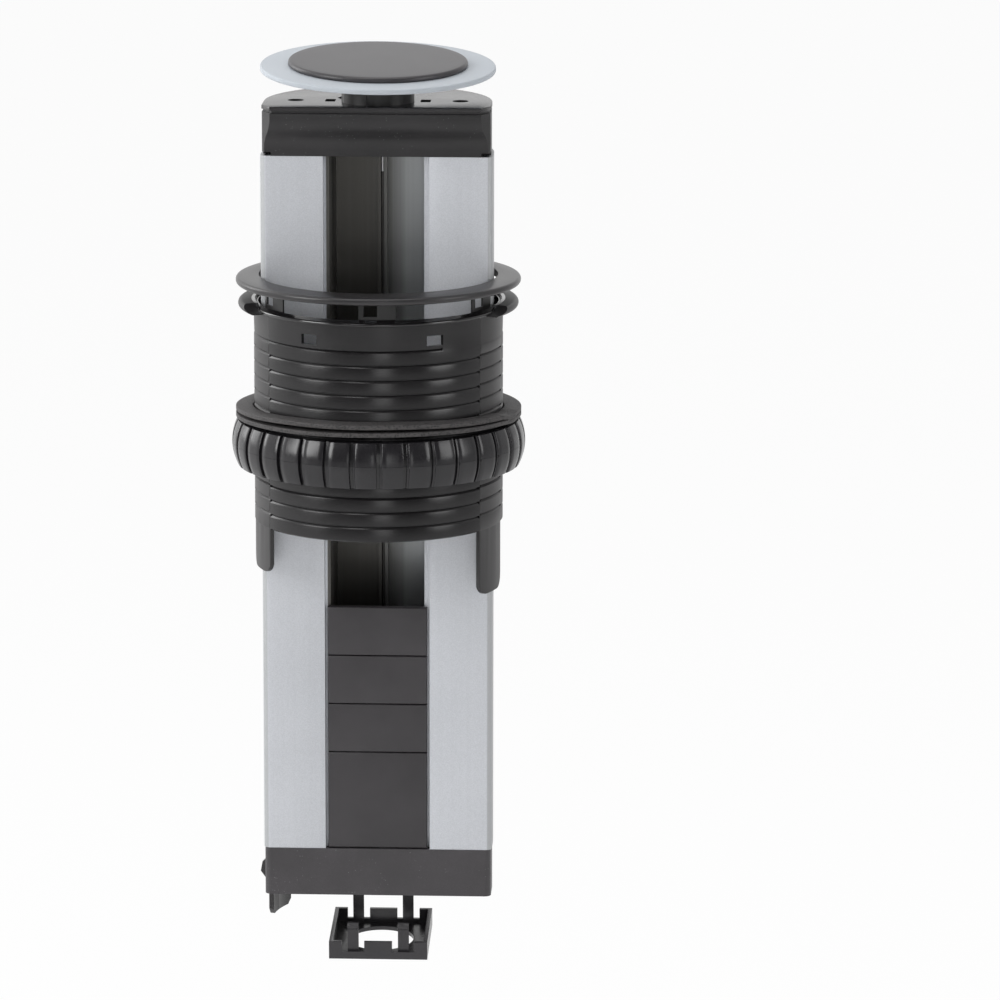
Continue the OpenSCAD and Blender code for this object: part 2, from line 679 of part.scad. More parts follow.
// Neck: a wide tube with a closed top, a narrow shaft below and two ears that keep it in the head
neck_top = head_top + 5.6;
shaft_bottom = well_floor + press_travel + 1;
lug_r = pin_r + 1.3;
lug_half = 6;
hinge_ear_r = pin_r + 1.5;
hinge_ear_t = 3;
hinge_gap = 0.3;
pin_z = neck_top + hinge_ear_r + hinge_gap;
hub_t = 2;
glass_bottom = head_top + lid_lift;
glass_top = glass_bottom + glass_t;
hub_rise = glass_bottom - hub_t - pin_z;
tip_stop_at = 11.5;
tip_stop_r = 1.2;
tip_stop_z = pin_z + hub_rise * cos(lid_tip)
  - tan(lid_tip) * (tip_stop_at + tip_stop_r - hub_rise * sin(lid_tip)) - 0.02;
module on_tip_axis() {
  rotate([0, 0, lid_tip_dir]) children();
}
module neck() {
  color([0.12, 0.12, 0.13]) difference() {
    union() {
      translate([0, 0, skirt_bottom]) cylinder(r = neck_r, h = neck_top - skirt_bottom, $fn = fine);
      translate([0, 0, shaft_bottom]) cylinder(r = shaft_r, h = neck_top - shaft_bottom, $fn = fine);
      intersection() {
        translate([-ear_reach, -ear_half, skirt_bottom]) cube([2 * ear_reach, 2 * ear_half, 1.7]);
        translate([0, 0, skirt_bottom]) cylinder(r = ear_reach, h = 2, $fn = fine);
      }
      on_tip_axis() {
        translate([-lug_half, -lug_r, neck_top - 1]) cube([2 * lug_half, 2 * lug_r, pin_z - neck_top + 1]);
        translate([0, 0, pin_z]) rotate([0, 90, 0]) translate([0, 0, -lug_half])
          cylinder(r = lug_r, h = 2 * lug_half, $fn = round_fn);
        // post on which the tipped lid rests
        translate([0, -tip_stop_at, neck_top - 1])
          cylinder(r = tip_stop_r, h = tip_stop_z - neck_top + 1, $fn = 32);
      }
    }
    // hollow for the spring, and the wide tube's own hollow around the shaft
    translate([0, 0, shaft_bottom - 1])
      cylinder(r = shaft_r - shaft_wall, h = neck_top - shaft_bottom - neck_wall + 1, $fn = fine);
    ring(neck_r - neck_wall, shaft_r, skirt_bottom - 1, neck_top - neck_wall);
    on_tip_axis() translate([-lug_half - 1, 0, pin_z]) rotate([0, 90, 0])
      cylinder(r = pin_r, h = 2 * lug_half + 2, $fn = round_fn);
    // fine vertical seams where the two halves of the neck meet
    for (a = [-14, 166]) rotate([0, 0, a])
      translate([-0.2, -neck_r - 1, skirt_bottom - 1]) cube([0.4, 1.4, neck_top]);
  }
}

// Lid spring: one wire swept along a helix between the well's floor and the neck's closed top
spring_top = neck_top - neck_wall;
spring_steps = 14;
spring_sides = 6;
function helix_ring(t, z0, z1) =
  let (a = 360 * spring_turns * t, z = z0 + (z1 - z0) * t)
  [for (s = [0:spring_sides - 1]) let (b = 360 * s / spring_sides, r = spring_r + spring_wire_r * cos(b))
    [r * cos(a), r * sin(a), z + spring_wire_r * sin(b)]];
spring_z0 = well_floor + spring_wire_r + touch;
spring_z1 = spring_top - spring_wire_r - touch;
function helix_point(a) =
  [spring_r * cos(a), spring_r * sin(a), spring_z0 + (spring_z1 - spring_z0) * a / 360 / spring_turns];
spring_gap = min([for (a = [0 : 15 : 360 * (spring_turns - 1)])
  norm(helix_point(a + 360) - helix_point(a))]) - 2 * spring_wire_r;
echo(least_gap_in_lid_spring_mm = spring_gap);
module lid_spring() {
  n = spring_turns * spring_steps;
  points = [for (i = [0:n]) each helix_ring(i / n, spring_z0, spring_z1)];
  faces = concat(
    [[for (s = [0:spring_sides - 1]) s]],
    [for (i = [0:n - 1], s = [0:spring_sides - 1])
      let (a = i * spring_sides + s, b = i * spring_sides + (s + 1) % spring_sides)
      [a, a + spring_sides, b]],
    [for (i = [0:n - 1], s = [0:spring_sides - 1])
      let (a = i * spring_sides + s, b = i * spring_sides + (s + 1) % spring_sides)
      [b, a + spring_sides, b + spring_sides]],
    [[for (s = [0:spring_sides - 1]) n * spring_sides + spring_sides - 1 - s]]
  );
  color([0.65, 0.65, 0.67]) polyhedron(points, faces);
}

pin_reach = lug_half + hinge_gap + hinge_ear_t;
module rocker_pin() {
  color([0.7, 0.7, 0.72]) on_tip_axis() translate([-pin_reach, 0, pin_z]) rotate([0, 90, 0])
    cylinder(r = pin_r, h = 2 * pin_reach, $fn = round_fn);
}

// The lid's pieces are drawn level and then tipped about the rocker pin
module tipped() {
  translate([0, 0, pin_z]) on_tip_axis() rotate([lid_tip, 0, 0]) rotate([0, 0, -lid_tip_dir])
    translate([0, 0, -pin_z]) children();
}
spigot_r = 6;
hub_hole_len = 4;
hub_screw_r = 1.25;
hub_head_t = 1.2;
hub_skirt_r = neck_r - 0.3;
hub_skirt_t = 1.5;
hub_skirt_z = neck_top + hub_skirt_r * sin(lid_tip) + 0.3;
module lid_hub() {
  color([0.14, 0.14, 0.15]) tipped() difference() {
    union() {
      translate([0, 0, glass_bottom - hub_t]) cylinder(r = hub_skirt_r, h = hub_t, $fn = fine);
      translate([0, 0, glass_bottom - touch]) cylinder(r = spigot_r, h = glass_t + touch, $fn = round_fn);
      ring(hub_skirt_r, hub_skirt_r - hub_skirt_t, hub_skirt_z, glass_bottom);
      // two ears on the rocker pin
      for (side = [-1, 1]) on_tip_axis()
        translate([side * (lug_half + hinge_gap) + (side < 0 ? -hinge_ear_t : 0), 0, pin_z]) {
          translate([0, -hinge_ear_r, 0]) cube([hinge_ear_t, 2 * hinge_ear_r, hub_rise + touch]);
          rotate([0, 90, 0]) cylinder(r = hinge_ear_r, h = hinge_ear_t, $fn = round_fn);
        }
    }
    on_tip_axis() translate([-pin_reach - 1, 0, pin_z]) rotate([0, 90, 0])
      cylinder(r = pin_r + pin_fit, h = 2 * pin_reach + 2, $fn = round_fn);
    translate([0, 0, glass_top - hub_hole_len])
      cylinder(r = hub_screw_r + 0.05, h = hub_hole_len + 1, $fn = 32);
  }
}

module lid_glass() {
  edge = min(0.8, glass_t / 3);
  color([0.82, 0.89, 0.93]) tipped() turn(0, 360) polygon(concat(
    [[spigot_r + 0.1, glass_bottom]],
    arc(glass_r - edge, glass_bottom + edge, edge, -90, 0, 5),
    arc(glass_r - edge, glass_top - edge, edge, 0, 90, 5),
    [[spigot_r + 0.1, glass_top]]
  ));
}

// The press disc is a shallow cup that hides the screw that holds the lid together
disc_recess = 1.6;
disc_dome = 0.35;
module press_disc() {
  edge = disc_t * 0.55;
  color([0.2, 0.2, 0.21]) tipped() turn(0, 360) polygon(concat(
    [[0, glass_top + disc_recess], [8, glass_top + disc_recess], [8, glass_top], [disc_r - 0.6, glass_top],
      [disc_r, glass_top + 0.6]],
    arc(disc_r - edge, glass_top + disc_t - disc_dome - edge, edge, 0, 84, 8),
    [[disc_r / 2, glass_top + disc_t - disc_dome / 4], [0, glass_top + disc_t]]
  ));
}

module hub_screw() {
  color([0.6, 0.6, 0.62]) tipped()
    translate([0, 0, glass_top]) screw(hub_screw_r, spigot_r + 0.8, hub_head_t, hub_hole_len - 0.4);
}

// One blank module: a front plate on the ledges and a hollow skirt between the side walls
module blank(top, height) {
  half = module_w / 2 - 0.1;
  skirt = throat_half - touch;
  color([0.24, 0.24, 0.25]) difference() {
    union() {
      translate([-half, ledge_y - plate_t, top - height + module_seam / 2])
        cube([2 * half, plate_t, height - module_seam]);
      translate([-skirt, ledge_y - 0.5, top - height + 1])
        cube([2 * skirt, skirt_depth + 0.5, height - 2]);
    }
    translate([-skirt + 1.5, ledge_y - plate_t + 2.2, top - height + 2.5])
      cube([2 * skirt - 3, skirt_depth + plate_t, height - 5]);
  }
}

stack_top = column_bottom + 5 * module_h + 0.2;
module blank_small_1() blank(stack_top, module_h);
module blank_small_2() blank(stack_top - module_h, module_h);
module blank_small_3() blank(stack_top - 2 * module_h, module_h);
module blank_large() blank(stack_top - 3 * module_h, 2 * module_h);

base_bottom = column_bottom - base_h;
base_corner = 3;
base_boss_r = 5;
outlet_front_y = -front_y + base_wall + 0.6;
stop_from = -stop_deg - stop_w / base_r * 90 / PI;
stop_span = stop_w / base_r * 180 / PI;
module base_cap() {
  color([0.2, 0.2, 0.2]) difference() {
    translate([0, 0, base_bottom]) linear_extrude(base_h) column_outline(base_r, front_y + 0.2, base_corner);
    // inside, closed below by a plate with the cable opening
    difference() {
      translate([0, 0, base_bottom + base_wall]) linear_extrude(base_h)
        column_outline(base_r - base_wall, front_y - base_wall, 1);
      side_screw_places() translate([0, 0, base_bottom])
        cylinder(r = base_boss_r, h = base_h, $fn = round_fn);
      translate([0, ridge_y, base_bottom]) cylinder(r = 4, h = base_h, $fn = round_fn);
      // rib from the rear boss to the back wall
      translate([-1, ridge_y, base_bottom]) cube([2, base_r, base_h]);
    }
    translate([-outlet_w / 2, outlet_front_y, base_bottom - 1])
      cube([outlet_w, outlet_back_y - outlet_front_y, base_wall + 2]);
    side_screw_places() {
      translate([0, 0, base_bottom - 1]) cylinder(r = screw_r + screw_fit, h = base_h + 2, $fn = round_fn);
      translate([0, 0, base_bottom - 1]) cylinder(r = screw_hole_r, h = base_h / 2 + 1, $fn = round_fn);
    }
    translate([0, ridge_y, base_bottom - 1])
      cylinder(r = ridge_hole_r + screw_fit, h = base_h + 2, $fn = round_fn);
    translate([0, ridge_y, base_bottom - 1]) cylinder(r = 2.9, h = base_h / 2 + 1, $fn = round_fn);
    // slot in the side wall for the stop latch
    turn(stop_from, stop_span) translate([base_r - base_wall - 0.4, base_bottom - 1])
      square([base_wall + 1.4, base_h - 2]);
  }
}

module base_screws() {
  color([0.6, 0.6, 0.62]) {
    side_screw_places() translate([0, 0, base_bottom + base_h / 2]) rotate([180, 0, 0])
      screw(screw_r, screw_hole_r - 0.3, screw_head_t, base_h / 2 + screw_grip);
    translate([0, ridge_y, base_bottom + base_h / 2]) rotate([180, 0, 0])
      screw(ridge_hole_r, 2.5, 1.8, base_h / 2 + screw_grip);
  }
}

// Stop latch: a strip of the base cap's wall with a nose outside and a tab below
module stop_latch() {
  tab_bottom = base_bottom - stop_tab;
  in_r = base_r - base_wall;
  nose_z = base_bottom + stop_h;
  color([0.17, 0.17, 0.18]) union() {
    intersection() {
      turn(stop_from, stop_span)
        polygon([[in_r, tab_bottom], [base_r, tab_bottom], [base_r, base_bottom + base_h - 3],
          [in_r, base_bottom + base_h - 3]]);
      rotate([0, 0, -stop_deg]) translate([0, -base_r / 2, 0]) rotate([90, 0, 0])
        linear_extrude(base_r) polygon([[-stop_w, base_bottom + base_h], [-stop_w / 2, base_bottom - 2],
          [-stop_w / 2, tab_bottom + 3], [-stop_w / 2 + 3, tab_bottom], [stop_w / 2 - 3, tab_bottom],
          [stop_w / 2, tab_bottom + 3], [stop_w / 2, base_bottom - 2], [stop_w, base_bottom + base_h]]);
    }
    turn(-stop_deg + 2.5, 9) polygon([[base_r - 0.5, nose_z - stop_h], [base_r + 0.6, nose_z - stop_h + 0.3],
      [base_r + stop_nose, nose_z - stop_h * 0.55], [base_r + stop_nose * 0.8, nose_z - 1.6],
      [base_r + stop_nose * 0.25, nose_z], [base_r - 0.5, nose_z]]);
  }
}

// Outlet frame, drawn level about its hook line and then turned to hang from it
hook_y = outlet_back_y + 0.9;
hook_z = base_bottom + base_wall + bead_r + touch;
frame_top = -hook_h;
frame_bottom = frame_top - frame_h;
frame_mid_y = -frame_w / 2 - 1.1;
prong_y = frame_w / 2 - frame_wall - prong_t;
notch_w = 10.3;
notch_h = 4.8;
module outlet_frame() {
  color([0.16, 0.16, 0.17]) translate([0, hook_y, hook_z]) rotate([droop, 0, 0]) {
    difference() {
      translate([-frame_w / 2, frame_mid_y - frame_w / 2, frame_bottom]) cube([frame_w, frame_w, frame_h]);
      translate([0, frame_mid_y, frame_bottom + frame_wall]) linear_extrude(frame_h)
        square(frame_w - 2 * frame_wall, center = true);
      translate([0, frame_mid_y, frame_bottom - 1]) cylinder(r = hole_r, h = frame_wall + 2, $fn = fine);
      for (side = [-1, 1], end = [-1, 1])
        translate([side * prong_x, frame_mid_y + end * (frame_w - frame_wall) / 2, frame_top - notch_h])
          linear_extrude(notch_h + 1) square([notch_w, 2 * frame_wall], center = true);
    }
    for (side = [-1, 1]) {
      // front leg with a barb
      translate([side * prong_x - prong_w / 2, frame_mid_y - prong_y - prong_t, 0]) {
        translate([0, 0, frame_bottom + frame_wall - touch])
          cube([prong_w, prong_t, frame_h + prong_h - frame_wall]);
        translate([0, touch, frame_top + prong_h - touch]) rotate([90, 0, 90]) linear_extrude(prong_w)
          polygon([[0, 0], [-1.2, -1], [-1.2, -2.4], [0, -3.2]]);
      }
      // rear leg with a round bead that hangs on the base cap
      translate([side * prong_x - prong_w / 2, frame_mid_y + prong_y, 0])
        translate([0, 0, frame_bottom + frame_wall - touch])
          cube([prong_w, prong_t, -frame_bottom - frame_wall + bead_r + touch]);
      translate([side * prong_x - prong_w / 2, 0, 0]) rotate([90, 0, 90]) {
        cylinder(r = bead_r, h = prong_w, $fn = 32);
        linear_extrude(prong_w) polygon([[frame_mid_y + prong_y + prong_t / 2, -0.1], [0, -bead_r * 0.3],
          [0, bead_r], [frame_mid_y + prong_y + prong_t / 2, bead_r]]);
      }
    }
  }
}

// Supply terminal on its carrier, on the web behind the large blank
terminal_mid = column_bottom + terminal_z;
carrier_t = 1.6;
earth_r = 1.25;
earth_head_r = 2;
earth_head_t = 1.4;
earth_len = 3;
terminal_back = web_y - ridge_w - carrier_t - 0.4;
module terminal_carrier() {
  color([0.6, 0.6, 0.62]) difference() {
    union() {
      translate([-throat_half + 0.4, terminal_back, terminal_mid - terminal_h / 2 - 2])
        cube([2 * throat_half - 0.8, carrier_t, terminal_h + 4]);
      for (side = [-1, 1])
        translate([side * (throat_half - 0.4 - carrier_t / 2) - carrier_t / 2, terminal_back,
          terminal_mid - terminal_h / 2 - 2]) cube([carrier_t, web_y - terminal_back, terminal_h + 4]);
    }
    for (side = [-1, 1])
      translate([side * (terminal_w / 2 + earth_head_r), terminal_back - 1, terminal_mid]) rotate([-90, 0, 0])
        cylinder(r = earth_r + 0.05, h = carrier_t + 2, $fn = 32);
  }
}

poles = 3;
entry_r = 2;
entry_len = 4;
wire_r = 1.6;
wire_len = 8;
pole_screw_r = 1.8;
pole_screw_len = 2.5;
slot_len = 2.8;
module pole_places() {
  for (i = [0:poles - 1]) translate([(i - (poles - 1) / 2) * terminal_w / poles, 0, 0])
    translate([0, terminal_back - terminal_d, terminal_mid]) children();
}
module terminal_block() {
  color([0.85, 0.85, 0.82]) difference() {
    translate([-terminal_w / 2, terminal_back - terminal_d, terminal_mid - terminal_h / 2])
      cube([terminal_w, terminal_d, terminal_h]);
    pole_places() for (end = [-1, 1])
      translate([0, -1, end * terminal_h / 4]) rotate([-90, 0, 0])
        cylinder(r = entry_r, h = entry_len + 1, $fn = 32);
    pole_places() translate([0, terminal_d * 0.65, -terminal_h / 2 - 1])
      cylinder(r = wire_r, h = wire_len + 1, $fn = 32);
  }
}
module terminal_screws() {
  color([0.75, 0.7, 0.5]) pole_places() for (end = [-1, 1])
    translate([0, entry_len, end * terminal_h / 4]) rotate([90, 0, 0]) difference() {
      cylinder(r = pole_screw_r, h = pole_screw_len, $fn = 32);
      translate([-slot_len / 2, -0.3, pole_screw_len * 0.7]) cube([slot_len, 0.6, pole_screw_len]);
    }
}
module earth_screw() {
  color([0.75, 0.72, 0.5]) for (side = [-1, 1])
    translate([side * (terminal_w / 2 + earth_head_r), terminal_back, terminal_mid]) rotate([90, 0, 0])
      screw(earth_r, earth_head_r, earth_head_t, earth_len);
}

collar();
side_strip_left();
side_strip_right();
glide_strips();
trim_ring();
gasket_upper();
gasket_lower();
clamp_nut();
column();
head_top_plate();
head_body();
head_screws();
rear_head_screw();
neck();
lid_spring();
rocker_pin();
lid_hub();
lid_glass();
hub_screw();
press_disc();
blank_small_1();
blank_small_2();
blank_small_3();
blank_large();
base_cap();
base_screws();
stop_latch();
outlet_frame();
terminal_carrier();
terminal_block();
terminal_screws();
earth_screw();
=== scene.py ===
"""Looks of the pull-up desk socket tower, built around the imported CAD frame.

Sizes in the sub-assemblies are in millimetres and angles in degrees, in the part's own frame: +Z up along
the tower's travel, -Y the front, and the origin on the collar's axis in the plane of the desk top. Angles
round the axis go from the front towards the right. A mesh is scaled to metres once, when its piece is
finished. The finishes and the studio are in metres.
"""

from __future__ import annotations

import json
import logging
from dataclasses import dataclass
from enum import Enum
from math import asin, atan2, cos, degrees, hypot, radians, sin
from typing import Callable, Iterable, Sequence

import bmesh
import bpy
from bmesh import ops
from mathutils import Matrix, Vector

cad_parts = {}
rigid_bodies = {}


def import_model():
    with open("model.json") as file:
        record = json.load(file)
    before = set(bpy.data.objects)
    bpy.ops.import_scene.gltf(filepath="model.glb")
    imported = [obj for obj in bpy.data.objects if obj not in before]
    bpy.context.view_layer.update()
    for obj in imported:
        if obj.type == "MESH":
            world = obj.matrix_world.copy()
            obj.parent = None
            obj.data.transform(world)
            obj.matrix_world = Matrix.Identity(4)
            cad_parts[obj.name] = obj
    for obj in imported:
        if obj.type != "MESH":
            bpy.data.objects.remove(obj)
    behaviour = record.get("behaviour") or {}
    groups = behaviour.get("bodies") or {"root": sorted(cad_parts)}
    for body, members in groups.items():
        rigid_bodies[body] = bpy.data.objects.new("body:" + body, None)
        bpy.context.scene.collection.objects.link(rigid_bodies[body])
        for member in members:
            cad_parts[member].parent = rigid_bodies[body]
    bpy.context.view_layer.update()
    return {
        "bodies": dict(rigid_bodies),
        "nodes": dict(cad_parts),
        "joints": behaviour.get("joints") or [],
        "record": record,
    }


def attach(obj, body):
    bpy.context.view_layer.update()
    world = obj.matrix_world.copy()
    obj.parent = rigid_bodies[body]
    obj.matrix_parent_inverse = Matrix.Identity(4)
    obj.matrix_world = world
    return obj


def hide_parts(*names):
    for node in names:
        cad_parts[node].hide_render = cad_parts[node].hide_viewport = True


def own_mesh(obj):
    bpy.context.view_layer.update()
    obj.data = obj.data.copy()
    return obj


logging.basicConfig(level=logging.INFO, format="%(levelname)s %(message)s")
log = logging.getLogger("desk_tower")

MM = 0.001
MERGE_CUT = 1e-3
MERGE_NODE = 2e-3
# the colour mix has sockets of the same name for each kind of value, so they go by number
MIX_SHARE, MIX_FIRST, MIX_SECOND, MIX_COLOUR = 0, 6, 7, 2
WHITE = (1.0, 1.0, 1.0, 1.0)

Mesh = bmesh.types.BMesh
Colour = tuple[float, float, float]
Point = tuple[float, float]
Spot = tuple[float, float, float]
Pattern = tuple[float | Spot, ...]
Box = tuple[float, float, float, float, float, float]
Sockets = dict[str | int, object]


class Slot(str, Enum):
    """Material slots of the record that a new piece takes its finish from."""

    COLLAR = "collar_plastic"
    BLACK = "black_plastic"
    BLANK = "blank_plastic"
    DISC = "disc_plastic"
    FOAM = "foam"
    GLIDE = "glide_felt"
    ANODISED = "anodised"
    STEEL = "steel"
    GLASS = "frosted_glass"
    TERMINAL = "terminal_plastic"
    BRASS = "brass"


class Body(str, Enum):
    """Rigid bodies of the frame that pieces ride on."""

    COLLAR = "desk_collar"
    TRIM = "trim"
    GASKETS = "gaskets"
    NUT = "nut"
    TOWER = "tower"
    STEM = "stem"
    LID = "lid"
    FRAME = "frame"


class Cut(str, Enum):
    """Ways in which one mesh works on another."""

    TAKE_OUT = "DIFFERENCE"
    JOIN = "UNION"


# ---------------------------------------------------------------- shader graphs


class Graph:
    """A node tree whose nodes all come from one method."""

    def __init__(self, owner: bpy.types.Material | bpy.types.World) -> None:
        """Gives the material or world an empty tree and keeps it."""
        owner.use_nodes = True
        self.tree = owner.node_tree
        self.tree.nodes.clear()

    def add(self, kind: str, sockets: Sockets | None = None, **settings: str) -> bpy.types.Node:
        """Adds a node, sets it up and then fills its sockets.

        Args:
            kind: the node's type, without the prefix that all have.
            sockets: what goes into its inputs, by name or number: a wire, an output or a constant.
            settings: its properties by name.

        Returns:
            The node.
        """
        node = self.tree.nodes.new(f"ShaderNode{kind}")
        for name, value in settings.items():
            setattr(node, name, value)
        for name, value in (sockets or {}).items():
            self.plug(node.inputs[name], value)
        return node

    def wire(self, kind: str, output: str | int, sockets: Sockets | None = None, **settings: str) -> Wire:
        """Adds a node as add() does and returns one of its outputs as a wire."""
        return Wire(self, self.add(kind, sockets, **settings).outputs[output])

    def plug(self, target: bpy.types.NodeSocket, value: object) -> None:
        """Links a wire or an output to a socket, or sets a constant on it."""
        if isinstance(value, Wire):
            value = value.socket
        if isinstance(value, bpy.types.NodeSocket):
            self.tree.links.new(value, target)
        else:
            target.default_value = value

    def axis(self, letter: str, kind: str = "Object") -> Wire:
        """One of the object's coordinates in metres, or one of another kind of coordinates."""
        return self.wire("SeparateXYZ", letter, {0: self.wire("TexCoord", kind)})

    def rays(self) -> tuple[Wire, Wire]:
        """Masks of what the camera and glass see, and of what gloss mirrors."""
        paths = self.add("LightPath")
        seen, through, mirrored = (Wire(self, paths.outputs[f"Is {kind} Ray"])
                                   for kind in ("Camera", "Transmission", "Glossy"))
        return seen | through, mirrored


def maths(operation: str, swapped: bool = False) -> Callable[..., Wire]:
    """Makes an operator of wires.

    Args:
        operation: what its Math node works out.
        swapped: whether the two values change places, as a reflected form needs.

    Returns:
        The operator.
    """
    def work(wire: Wire, *others: Wire | float) -> Wire:
        """Adds the Math node."""
        values = (*others, wire) if swapped else (wire, *others)
        return wire.graph.wire("Math", 0, dict(enumerate(values)), operation=operation)

    return work


class Wire:
    """A shader value that takes part in Python expressions, one Math node for each operation."""

    def __init__(self, graph: Graph, socket: bpy.types.NodeSocket) -> None:
        """Keeps the graph that new nodes go into and the socket that holds the value."""
        self.graph = graph
        self.socket = socket

    __add__ = __radd__ = maths("ADD")
    __mul__ = __rmul__ = maths("MULTIPLY")
    __sub__ = maths("SUBTRACT")
    __rsub__ = maths("SUBTRACT", swapped=True)
    __abs__ = maths("ABSOLUTE")
    # a | b is the larger of the two
    __or__ = maths("MAXIMUM")

    def rise(self, low: float, high: float, start: float = 0.0, end: float = 1.0) -> Wire:
        """Smooth step from start at low to end at high, which may be the smaller one."""
        if low > high:
            low, high, start, end = high, low, end, start
        limits = {"Value": self, "From Min": low, "From Max": high, "To Min": start, "To Max": end}
        return self.graph.wire("MapRange", "Result", limits, interpolation_type="SMOOTHSTEP")

    def past(self, edge: float, blur: float) -> Wire:
        """Step from 0 to 1 that is blurred on both sides of an edge; a negative blur makes it fall."""
        return self.rise(edge - blur, edge + blur)


class Surface(Graph):
    """One node material around a Principled shader, with short ways to its textures."""

    def __init__(self, name: str, slot: Slot, **constants: float) -> None:
        """Makes the material with its shader and its Object coordinates.

        Args:
            name: the material's name.
            slot: the record's slot that pieces of this material take.
            constants: values of the shader's sockets, with _ for a blank in their names.
        """
        self.slot = slot
        self.material = bpy.data.materials.new(name)
        super().__init__(self.material)
        self.shader = self.add("BsdfPrincipled",
                               {key.replace("_", " "): value for key, value in constants.items()})
        self.add("OutputMaterial", {"Surface": self.shader.outputs["BSDF"]})
        self.place = self.wire("TexCoord", "Object")

    def noise(self, scale: float, detail: float = 2.0, rough: float = 0.5,
              stretch: Spot | None = None) -> Wire:
        """Cloudy noise between 0 and 1.

        Args:
            scale: waves in a metre.
            detail: octaves.
            rough: how strong the finer octaves are.
            stretch: scale of each axis, or None for an even pattern.

        Returns:
            The noise's value.
        """
        where = self.place
        if stretch:
            where = self.wire("Mapping", "Vector", {"Vector": self.place, "Scale": stretch})
        return self.wire("TexNoise", "Fac",
                         {"Vector": where, "Scale": scale, "Detail": detail, "Roughness": rough})

    def cells(self, scale: float) -> Wire:
        """Distance to the nearest point of a random cell pattern."""
        return self.wire("TexVoronoi", "Distance", {"Vector": self.place, "Scale": scale})

    def shades(self, share: Wire, dark: Colour | Wire, light: Colour | Wire) -> Wire:
        """Colour that goes from dark to light with the wire's value."""
        first, second = (tone if isinstance(tone, Wire) else (*tone, 1.0) for tone in (dark, light))
        sockets = {MIX_SHARE: share, MIX_FIRST: first, MIX_SECOND: second}
        return self.wire("Mix", MIX_COLOUR, sockets, data_type="RGBA")

    def dress(self, colour: Wire, roughness: Wire, height: Wire, depth: float,
              strength: float = 1.0) -> Surface:
        """Sends the varying values to the shader.

        Args:
            colour: the base colour.
            roughness: the roughness.
            height: the relief's height between 0 and 1.
            depth: the relief's depth.
            strength: how strongly the relief shows.

        Returns:
            The surface itself.
        """
        bump = self.wire("Bump", "Normal",
                         {"Strength": strength, "Distance": depth, "Height": height})
        for name, value in (("Base Color", colour), ("Roughness", roughness), ("Normal", bump)):
            self.plug(self.shader.inputs[name], value)
        return self


# ---------------------------------------------------------------- finishes
# the patterns are given as waves in a metre, octaves, strength of the finer octaves and scale of each axis


@dataclass(frozen=True)
class Plastic:
    """Moulded plastic: a fine spark-eroded grain, an uneven sheen, and a few pale specks of dust.

    The collar's rim is polished above a height and within a radius, and the head's cheeks where their face
    lies.
    The collar's sides past a width are duller, and the trim ring's legs get painted shade below a height,
    where they hang in shadow inside the collar.
    """

    name: str
    slot: Slot
    dark: Colour
    light: Colour
    rough: float
    grain: float
    depth: float
    specks: float = 0.0
    gloss_above: float | None = None
    gloss_within: float = 0.0568
    gloss_rough: float = 0.13
    gloss_coat: float = 1.0
    gloss_flattens: float = 0.85
    cheek_reach: float | None = None
    cheek_face: Point = (0.863, -0.5055)
    dull_past: float | None = None
    dull_tone: Colour = (0.038, 0.036, 0.037)
    dull_share: float = 0.45
    dull_rough: float = 0.2
    # painted shade of the trim ring's legs below a height
    painted_shade_below: float | None = None
    painted_shade_tone: Colour = (0.004, 0.004, 0.004)
    painted_shade_share: float = 0.85
    clouds: Pattern = (38.0, 3.0, 0.55)
    cloud_share: float = 0.65
    cloud_rough: float = 0.08
    grain_rough: float = 0.04
    contrast: Point = (0.3, 0.7)
    swell: Pattern = (420.0, 1.0)
    swell_share: float = 0.3
    dust: float = 700.0
    dust_size: Point = (0.16, 0.05)
    dust_drifts: Pattern = (90.0, 1.0)
    drift_edge: Point = (0.48, 0.62)
    dust_tone: Colour = (0.3, 0.3, 0.3)

    def make(self) -> Surface:
        """Builds the node material."""
        surface = Surface(self.name, self.slot, Specular_IOR_Level=0.5, Coat_Roughness=0.12)
        clouds = surface.noise(*self.clouds)
        grain = surface.noise(self.grain, 2.0, 0.6)
        mottle = clouds * self.cloud_share + grain * (1.0 - self.cloud_share)
        colour = surface.shades(mottle.rise(*self.contrast), self.dark, self.light)
        if self.specks:
            drifts = surface.noise(*self.dust_drifts).rise(*self.drift_edge)
            dust = surface.cells(self.dust).rise(*self.dust_size) * drifts
            colour = surface.shades(dust * self.specks, colour, self.dust_tone)
        rough = clouds * self.cloud_rough + (self.rough - self.cloud_rough / 2) + grain * self.grain_rough
        relief = grain + surface.noise(*self.swell) * self.swell_share
        if self.dull_past is not None:
            dull = abs(surface.axis("X")).past(self.dull_past, 0.0002)
            rough = rough + dull * self.dull_rough
            colour = surface.shades(dull * self.dull_share, colour, self.dull_tone)
        # painted shade: below this height the trim ring's legs are darkened, as they hang in the shadow
        # inside the collar
        if self.painted_shade_below is not None:
            low = surface.axis("Z").rise(self.painted_shade_below, self.painted_shade_below - 0.0004)
            colour = surface.shades(low * self.painted_shade_share, colour, self.painted_shade_tone)
        polish = self.polished(surface)
        if polish is not None:
            surface.plug(surface.shader.inputs["Coat Weight"], polish * self.gloss_coat)
            rough = rough * (1.0 - polish) + polish * self.gloss_rough
            relief = relief * (1.0 - polish * self.gloss_flattens)
        return surface.dress(colour, rough, relief, self.depth)

    def polished(self, surface: Surface) -> Wire | None:
        """Mask of the polished places, or None where the piece has none."""
        if self.cheek_reach is None and self.gloss_above is None:
            return None
        across, along = surface.axis("X"), surface.axis("Y")
        if self.cheek_reach is not None:
            reach = abs(across) * self.cheek_face[0] + along * self.cheek_face[1]
            return reach.rise(self.cheek_reach - 0.0001, self.cheek_reach)
        inner = across * across + along * along
        inner = inner.rise((self.gloss_within + 0.0004) ** 2, self.gloss_within ** 2)
        return surface.axis("Z").past(self.gloss_above, 0.0003) * inner


